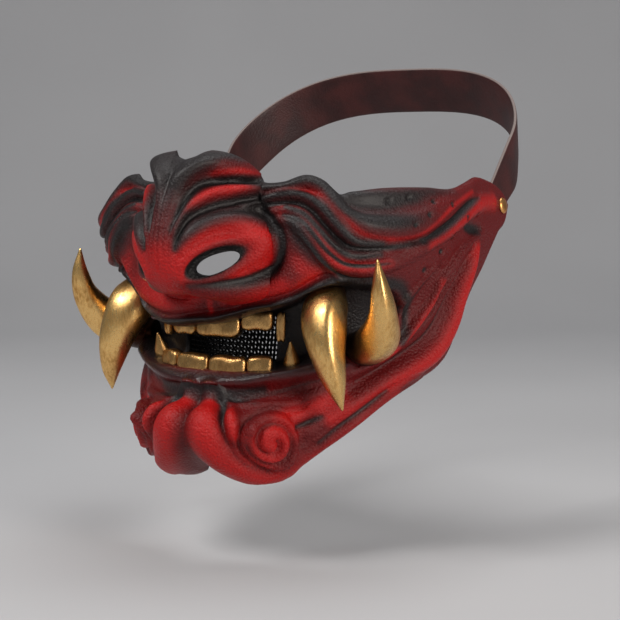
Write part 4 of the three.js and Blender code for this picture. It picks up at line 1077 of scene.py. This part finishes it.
# %% Rubbed gold
def rubbed_gold(name, bright, shade, dark, streaking):
    """Gold paint: a shade in the hollows of the noise, bright on the rest, and a near black mixed in where the layer
    on the mesh says: towards the root of a tusk, and as painted shade on the back of a tooth and towards its gum.
    """
    paint = Finish(name, Metallic=1.0, Specular_IOR_Level=0.5)
    streaks = paint.noise(1.3, paint.place(scale=(1, 1, 0.4)), detail=4, roughness=0.6)
    cloud = paint.noise(13, detail=2)
    grain = paint.noise(0.3, detail=2)
    age = paint.layer("age")
    rubbed = paint.ease(0.6 * streaks + 0.4 * cloud + 0.3 * (grain - 0.5), 0.3, 0.56)
    gold = paint.blend(rubbed, shade, bright)
    darkened = paint.ease(age + 0.5 * (grain - 0.5) + streaking * (streaks - 0.5), 0.25, 0.9)
    colour = paint.blend(darkened, gold, dark)
    roughness = 0.27 + 0.16 * (1 - rubbed) + 0.15 * darkened + 0.1 * (grain - 0.5)
    height = 0.5 * streaks + 0.5 * grain
    return paint.finish(Base_Color=colour, Roughness=roughness, Normal=paint.bump(height, 0.3, 0.5))


TUSK_GOLD = rubbed_gold("tusk_gold", (0.86, 0.54, 0.20, 1), (0.52, 0.26, 0.07, 1), (0.045, 0.016, 0.008, 1), 0.4)
# Painted shade: the teeth and the small fangs take a darker copy of the tusks' gold.
SHADED_TOOTH_GOLD = rubbed_gold("tooth_gold", (0.60, 0.35, 0.13, 1), (0.25, 0.115, 0.038, 1), (0.026, 0.011, 0.007, 1), 0.75)

# %% Tusks and fangs: x, y, z, radius from root to tip, on the wearer's left
UPPER_TUSK = [
    (47.6, -86, -38, 8), (49.2, -90, -40, 9.3), (52, -97, -47, 9.8), (56, -101, -60, 7.6),
    (59.5, -100.5, -73, 4.6), (61.5, -98, -84, 0.4),
]
LOWER_TUSK = [
    (52.6, -75.2, -59.5, 6), (57, -76.4, -59.8, 7.4), (64.5, -80, -58.4, 8.6), (73, -86.5, -53, 8.6),
    (78.6, -94, -42, 5.9), (79.4, -98, -31, 3.7), (78.5, -99, -19.5, 0.4),
]
FANG = [(33.3, -92.5, -70.5, 4), (34.6, -95, -65, 3.6), (35.4, -97.5, -56.5, 0.5)]
RIDGE_TURN = math.radians(38)
ROOT_COVER = 0.8


def tucked(points):
    """The points of a tusk or a tooth, with any that would come through the inside of the wall moved out along
    the level way until ROOT_COVER of the wall is left behind them."""
    v = points[..., 2]
    u = DEGREE * np.degrees(np.arctan2(points[..., 0], -points[..., 1]))
    head, _ = head_form(u, v)
    from_axis = np.hypot(points[..., 0], points[..., 1])
    depth = np.hypot(head[..., 0], head[..., 1]) - from_axis
    too_deep = np.maximum(depth - (WALL + pocket(u, v, POCKET_MARGIN) - ROOT_COVER), 0)
    grow = 1 + too_deep / from_axis
    return points * np.stack([grow, grow, np.ones(grow.shape)], axis=-1)


def horn(rows, side, sides, steps, ridge):
    """Rings along a smooth path: radius times 1 + a ridge facing out to the side, less a flat on each flank."""
    rows = np.asarray(rows, dtype=float)
    number = np.arange(len(rows))
    at = np.linspace(0, len(rows) - 1, steps)
    line = np.stack([curve(np.stack([number, rows[:, k]], axis=1))(at) for k in range(4)], axis=1)
    centre = line[:, :3] * [side, 1, 1]
    share = at / at[-1]
    radius = line[:, 3]
    tangent = np.gradient(centre, axis=0)
    tangent /= np.linalg.norm(tangent, axis=1, keepdims=True)
    facing = np.array([side * math.sin(RIDGE_TURN), -math.cos(RIDGE_TURN), 0])
    first = facing - tangent * (tangent @ facing)[:, None]
    first /= np.linalg.norm(first, axis=1, keepdims=True)
    second = np.cross(tangent, first)
    turn = np.linspace(-math.pi, math.pi, sides, endpoint=False)
    form = 1 + ridge * (bell(turn, 0.30) - 0.6 * bell(np.abs(turn) - 0.95, 0.5) + 0.35 * bell(np.abs(turn) - 2.1, 0.7))
    reach = radius[:, None] * form * (1 + 0.012 * np.sin(23 * share[:, None] + 3 * np.sin(turn)))
    rings = (
        centre[:, None]
        + (reach * np.cos(turn))[..., None] * first[:, None]
        + (reach * np.sin(turn))[..., None] * second[:, None]
    )
    return tucked(rings), share


for name, rows, sides, steps, ridge, darkening_ends, slot, material in (
    ("upper_tusk", UPPER_TUSK, 48, 80, 0.10, 0.10, "tusk_gold", TUSK_GOLD),
    ("lower_tusk", LOWER_TUSK, 48, 80, 0.10, 0.26, "tusk_gold", TUSK_GOLD),
    ("lower_fang", FANG, 28, 30, 0.04, 0.12, "tooth_gold", SHADED_TOOTH_GOLD),
):
    for side, word in ((-1, "right"), (1, "left")):
        rings, share = horn(rows, side, sides, steps, ridge)
        points, faces = closed_tube(rings)
        piece = put_mesh(f"gold_{name}_{word}", points, facing_out(points, faces))
        # Darker towards the root, where the tusk comes out of the face, and a little darker at the very tip.
        aged = 0.95 * (1 - ease(darkening_ends, darkening_ends + 0.28, share)) + 0.18 * ease(0.9, 1.0, share)
        paint_values(piece, age=np.concatenate([np.repeat(aged, sides), aged[[0, -1]]]))
        settle(piece, slot, material, f"{name}_{word}")

# %% [markdown]
# ## Teeth
# The teeth are low blocks with rounded edges, set side by side along the jaw. A bevelled cube would do for one
# tooth on a flat board, but these follow the curve of the jaw, so each is a closed tube of rounded rings set along it.

# %% Teeth: name, sides, u, v, depth in the face, half across, half tall, half thick
TEETH = [
    ("upper_tooth", (0,), 0, -51, 8.5, 12.5, 5.2, 4.0),
    ("upper_tooth", (1,), 21.1, -48.2, 8.5, 8.2, 4.4, 4.0),
    ("upper_tooth", (-1,), 21.1, -51.8, 8.5, 8.2, 4.4, 4.0),
    ("upper_peg", (-1, 1), 33.2, -50.5, 6.0, 2.2, 6.5, 2.4),
    ("lower_tooth_inner", (-1, 1), 9.3, -67.4, 3.0, 9.1, 4.3, 3.4),
    ("lower_tooth_outer", (-1, 1), 24.4, -66.6, 3.0, 5.7, 4.0, 3.2),
]
SIDE_WORD = {-1: "right", 0: "middle", 1: "left"}


def tooth_points(side, u, v, depth, across, tall, thick):
    """Rounded rings set side by side along the jaw: each is a squared circle, and they shrink only near the
    two ends. Gives the points, how far each is hidden behind, and its height in the tooth."""
    along_jaw = np.sin(np.linspace(-math.pi / 2, math.pi / 2, 44))[1:-1]
    full = (1 - np.abs(along_jaw) ** 7) ** 0.4
    turn = np.linspace(0, 2 * math.pi, 48, endpoint=False)
    push = lambda value, power: np.sign(value) * np.abs(value) ** power
    z = full[:, None] * push(np.sin(turn), 0.55)
    y = full[:, None] ** 0.8 * push(np.cos(turn), 0.62)
    x = along_jaw[:, None] + 0 * z
    wavy = 1 + 0.03 * np.sin(5.3 * x + 2.1 * z + 7 * side) + 0.02 * np.sin(3.1 * z - 4.7 * x + u)
    point, out = head_form(side * u + x * across, v + z * tall * wavy)
    return tucked(point + out * (y * thick * wavy - depth)[..., None]), 1 - ease(-0.3, 0.4, y), z


for name, tooth_sides, *size in TEETH:
    for side in tooth_sides:
        rings, hidden, height = tooth_points(side, *size)
        points, faces = closed_tube(rings)
        word = SIDE_WORD[side]
        piece = put_mesh(f"gold_{name}_{word}", points, facing_out(points, faces))
        # Painted shade: each tooth is darker on its back, which is hidden, and towards the gum.
        root = ease(0.35, 1.0, height if name.startswith("upper") else -height)
        aged = np.clip(0.9 * hidden + 0.55 * root, 0, 1)
        paint_values(piece, age=np.concatenate([aged.ravel(), aged[0, :1], aged[-1, :1]]))
        settle(piece, "tooth_gold", SHADED_TOOTH_GOLD, f"{name}_{word}")

# %% [markdown]
# ## Woven wire behind the teeth
# The mouth is closed by a black woven wire mesh that lets breath through. An image of a weave would look flat in
# the gaps, and a wireframe modifier has no over and under. Each wire here is its own thin tube that waves in and
# out by half a wire as it crosses the others, alternately, which is what holds a real weave together.

# %% Black wire
def black_wire():
    paint = Finish("black_wire", Metallic=0.3, Roughness=0.4, Specular_IOR_Level=0.4)
    wear = paint.noise(1.4, detail=2)
    shade = paint.blend(paint.ease(wear, 0.55, 0.75), (0.006, 0.006, 0.007, 1), (0.022, 0.022, 0.025, 1))
    return paint.finish(Base_Color=shade)


WIRE_PITCH = 2.2
WIRE_RADIUS = 0.9
MESH_HALF = 44
MESH_LOW, MESH_HIGH = -68.5, -43
MESH_DEPTH = MOUTH_DEPTH + WALL + 0.8


def wire(u, v, wave):
    """A six-sided tube along sheet points (u, v), moved in and out of the mouth by `wave`."""
    point, out = head_form(u, v)
    centre = point - out * (MESH_DEPTH - wave)[:, None]
    tangent = np.gradient(centre, axis=0)
    tangent /= np.linalg.norm(tangent, axis=1, keepdims=True)
    across = np.cross(tangent, out)
    turn = np.linspace(0, 2 * math.pi, 6, endpoint=False)
    ring = np.cos(turn)[:, None] * out[:, None] + np.sin(turn)[:, None] * across[:, None]
    return closed_tube(centre[:, None] + WIRE_RADIUS * ring)


def woven_mesh():
    """Wires along u and wires along v, joined into one mesh. Each waves as a cosine with a period of two pitches."""
    wires = []
    rows = np.arange(MESH_LOW, MESH_HIGH, WIRE_PITCH)
    uprights = np.arange(-MESH_HALF, MESH_HALF + 0.1, WIRE_PITCH)
    for number, v in enumerate(rows):
        u = np.linspace(-MESH_HALF, MESH_HALF, 5 * len(uprights))
        phase = math.pi * (u - uprights[0]) / WIRE_PITCH + math.pi * number
        wires.append(wire(u, np.full(len(u), v), WIRE_RADIUS * np.cos(phase)))
    for number, u in enumerate(uprights):
        v = np.linspace(MESH_LOW - 0.8, MESH_HIGH + 0.8, 5 * len(rows))
        phase = math.pi * (v - rows[0]) / WIRE_PITCH + math.pi * (number + 1)
        wires.append(wire(np.full(len(v), u), v, WIRE_RADIUS * np.cos(phase)))
    points, faces, start = [], [], 0
    for wire_points, wire_faces in wires:
        points.append(wire_points)
        faces += [[k + start for k in face] for face in facing_out(wire_points, wire_faces)]
        start += len(wire_points)
    return np.concatenate(points), faces


mesh_points, mesh_faces = woven_mesh()
settle(put_mesh("woven_mouth_mesh", mesh_points, mesh_faces), "black_wire", black_wire(), "mouth_mesh")

# %% [markdown]
# ## The head strap
# The strap is one band of dyed leather, two millimetres thick, with cut edges. It lies flat inside each ear tab and
# climbs to the back of the head. A curve object with a flat bevel would twist where the path bends in two ways,
# so the band is a rounded rectangle carried along the path with its own upright direction worked out at each step.

# %% Strap path and band
STRAP_WIDTH, STRAP_END_WIDTH, STRAP_THICKNESS = 25, 16, 2
STRAP_TILT = math.radians(40)
STRAP_REACH = 92
STRAP_SQUARE = 2.9
STRAP_LEAN = -0.22
STRAP_FLAT_TO = 24
SECTION_STEPS = 13  # points along each quarter of the band's section
WIDTH_POWER, THICKNESS_POWER = 0.22, 0.55  # the smaller, the squarer the section is that way
STRAP_DEPTH = WALL + 0.3 + 0.6 + STRAP_THICKNESS / 2


def strap_path():
    """Flat on the left tab's line, then a squared half loop in a plane tilted up to the back, mirrored."""
    seat, out = rivet_seat(1)
    start = seat - out * STRAP_DEPTH
    rise = np.array([0, math.cos(STRAP_TILT), math.sin(STRAP_TILT)])
    flat = rise - out * (rise @ out)
    flat /= np.linalg.norm(flat)
    laid = start + np.array([-1, -0.5, 0, 0.5, 1])[:, None] * flat * STRAP_END_WIDTH / 2
    turn = np.linspace(0, math.pi / 2, 61)[1:]
    distance = STRAP_REACH * np.sin(turn) ** (2 / STRAP_SQUARE)
    across = start[0] * np.abs(np.cos(turn)) ** (2 / STRAP_SQUARE)
    loop = np.stack([across, 0 * turn + start[1], 0 * turn + start[2]], axis=1) + distance[:, None] * rise
    half = np.concatenate([laid, loop[distance > STRAP_FLAT_TO]])
    half[-1, 0] = 0
    return np.concatenate([half, half[-2::-1] * [-1, 1, 1]])


def evenly(path, steps):
    """The path walked in equal steps, smoothed twice so that its corners are gone, with the distance walked."""
    for count in (len(path) * 6, steps):
        walked = np.concatenate([[0], np.cumsum(np.linalg.norm(np.diff(path, axis=0), axis=1))])
        even = np.linspace(0, walked[-1], count)
        path = np.stack([np.interp(even, walked, path[:, k]) for k in range(3)], axis=1)
        for _ in range(12):
            path[1:-1] = 0.25 * path[:-2] + 0.5 * path[1:-1] + 0.25 * path[2:]
    return path, np.linspace(0, walked[-1], steps)


def strap_band():
    """Rounded rectangles across the path: 16 wide and round at the ends, 25 wide behind the ears."""
    path, walked = evenly(strap_path(), 260)
    length = walked[-1]
    to_end = np.minimum(walked, length - walked)
    tangent = np.gradient(path, axis=0)
    tangent /= np.linalg.norm(tangent, axis=1, keepdims=True)
    upright = np.array([0, -math.sin(STRAP_TILT), math.cos(STRAP_TILT)])
    out = np.cross(tangent, upright)
    out /= np.linalg.norm(out, axis=1, keepdims=True)
    seats = np.stack([rivet_seat(-1 if x < 0 else 1)[1] for x in path[:, 0]])
    flat = upright - seats * (seats @ upright)[:, None]
    leaning = upright - STRAP_LEAN * out
    share = ease(STRAP_END_WIDTH, 60, to_end)[:, None]
    across = flat + (leaning - flat) * share
    across /= np.linalg.norm(across, axis=1, keepdims=True)
    through = np.cross(tangent, across)
    through /= np.linalg.norm(through, axis=1, keepdims=True)
    round_end = np.sqrt(np.clip(1 - np.clip(1 - to_end / (STRAP_END_WIDTH / 2), 0, 1) ** 2, 0.0004, 1))
    wide = STRAP_END_WIDTH + (STRAP_WIDTH - STRAP_END_WIDTH) * ease(STRAP_END_WIDTH, 45, to_end)
    half = round_end * wide / 2
    section = rounded_section(SECTION_STEPS, THICKNESS_POWER)
    width_way, thick_way = section[:, 0], section[:, 1]
    place = width_way * half[:, None]
    rings = (
        path[:, None]
        + place[..., None] * across[:, None]
        + (thick_way * STRAP_THICKNESS / 2)[None, :, None] * through[:, None]
    )
    edge = np.repeat(ease(0.93, 1.0, np.abs(width_way))[None], len(path), axis=0)
    return rings, edge, length


def rounded_section(steps, power):
    """A closed outline from (-1, -1) to (1, 1) with soft corners: cosine and sine pushed out by a power."""
    turn = np.linspace(0, 2 * math.pi, 4 * steps, endpoint=False)
    x, y = np.cos(turn), np.sin(turn)
    return np.stack([np.sign(x) * np.abs(x) ** WIDTH_POWER, np.sign(y) * np.abs(y) ** power], axis=1)


def dyed_leather():
    """Leather: fine pebbled grain, a slow change of tone, and a paler raw edge."""
    paint = Finish("dyed_leather", Specular_IOR_Level=0.4)
    pebble = paint.node("TexVoronoi", {"Vector": paint.place(), "Scale": 1 / (1.1 * MM)}, output="Distance")
    cloud = paint.noise(14, detail=3)
    grain = paint.noise(0.5, detail=2)
    edge = paint.layer("edge")
    face = paint.blend(paint.ease(cloud, 0.3, 0.7), (0.030, 0.0085, 0.0085, 1), (0.060, 0.013, 0.012, 1))
    colour = paint.blend(paint.ease(edge + 0.3 * (grain - 0.5), 0.3, 0.9), face, (0.20, 0.16, 0.15, 1))
    roughness = 0.52 + 0.14 * (cloud - 0.5) + 0.2 * edge
    height = (1 - pebble) * (1 - edge) + 0.4 * grain
    return paint.finish(Base_Color=colour, Roughness=roughness, Normal=paint.bump(height, 0.25, 0.5))


strap_rings, strap_edge, strap_length = strap_band()
strap_points, strap_faces = closed_tube(strap_rings)
strap = put_mesh("leather_strap", strap_points, facing_out(strap_points, strap_faces))
paint_values(strap, edge=np.concatenate([strap_edge.ravel(), [1, 1]]))
settle(strap, "strap_leather", dyed_leather(), "head_strap")
print(f"strap: {strap_length:.0f} mm from end to end")

# %% [markdown]
# ## Rivets
# A brass rivet holds each end of the strap. It is turned metal, so its profile is spun round the rivet's own line:
# a low domed head outside, a shank through tab and leather, and a flat washer inside.

# %% Brass rivets
def polished_brass():
    paint = Finish("polished_brass", Metallic=1.0, Specular_IOR_Level=0.5)
    scuffs = paint.noise(0.8, detail=4, roughness=0.65)
    cloud = paint.noise(4, detail=2)
    colour = paint.blend(paint.ease(cloud, 0.3, 0.7), (0.78, 0.34, 0.10, 1), (0.90, 0.50, 0.18, 1))
    return paint.finish(Base_Color=colour, Roughness=0.22 + 0.25 * scuffs, Normal=paint.bump(scuffs, 0.05, 0.4))


RIVET_RADIUS, SHANK_RADIUS, RIVET_DOME = 3.8, 2.0, 1.8


def rivet_rings(side):
    """The profile, distance out of the tab against radius, spun in forty steps."""
    washer = -STRAP_DEPTH - STRAP_THICKNESS / 2 - 0.3
    turn = np.linspace(0, math.pi / 2, 9)
    dome = np.stack([0.3 + (RIVET_DOME - 0.3) * np.sin(turn), RIVET_RADIUS * np.cos(turn) ** 0.8], axis=1)
    profile = np.array([
        (washer - 1.2, 0.05), (washer - 1.2, 3.3), (washer - 1.0, 3.7), (washer - 0.2, 3.8), (washer, 3.6),
        (washer, SHANK_RADIUS), (0.25, SHANK_RADIUS), (0.28, RIVET_RADIUS * 0.97),
    ] + dome[:-1].tolist() + [(RIVET_DOME, 0.05)])
    point, out = rivet_seat(side)
    first, second = across_pair(out)
    spin = np.linspace(0, 2 * math.pi, 40, endpoint=False)
    circle = np.cos(spin)[:, None] * first + np.sin(spin)[:, None] * second
    return point + profile[:, 0, None, None] * out + profile[:, 1, None, None] * circle


BRASS = polished_brass()
for side, word in ((-1, "right"), (1, "left")):
    points, faces = closed_tube(rivet_rings(side))
    rivet = put_mesh(f"brass_rivet_{word}", points, facing_out(points, faces))
    settle(rivet, "rivet_brass", BRASS, f"rivet_{word}")
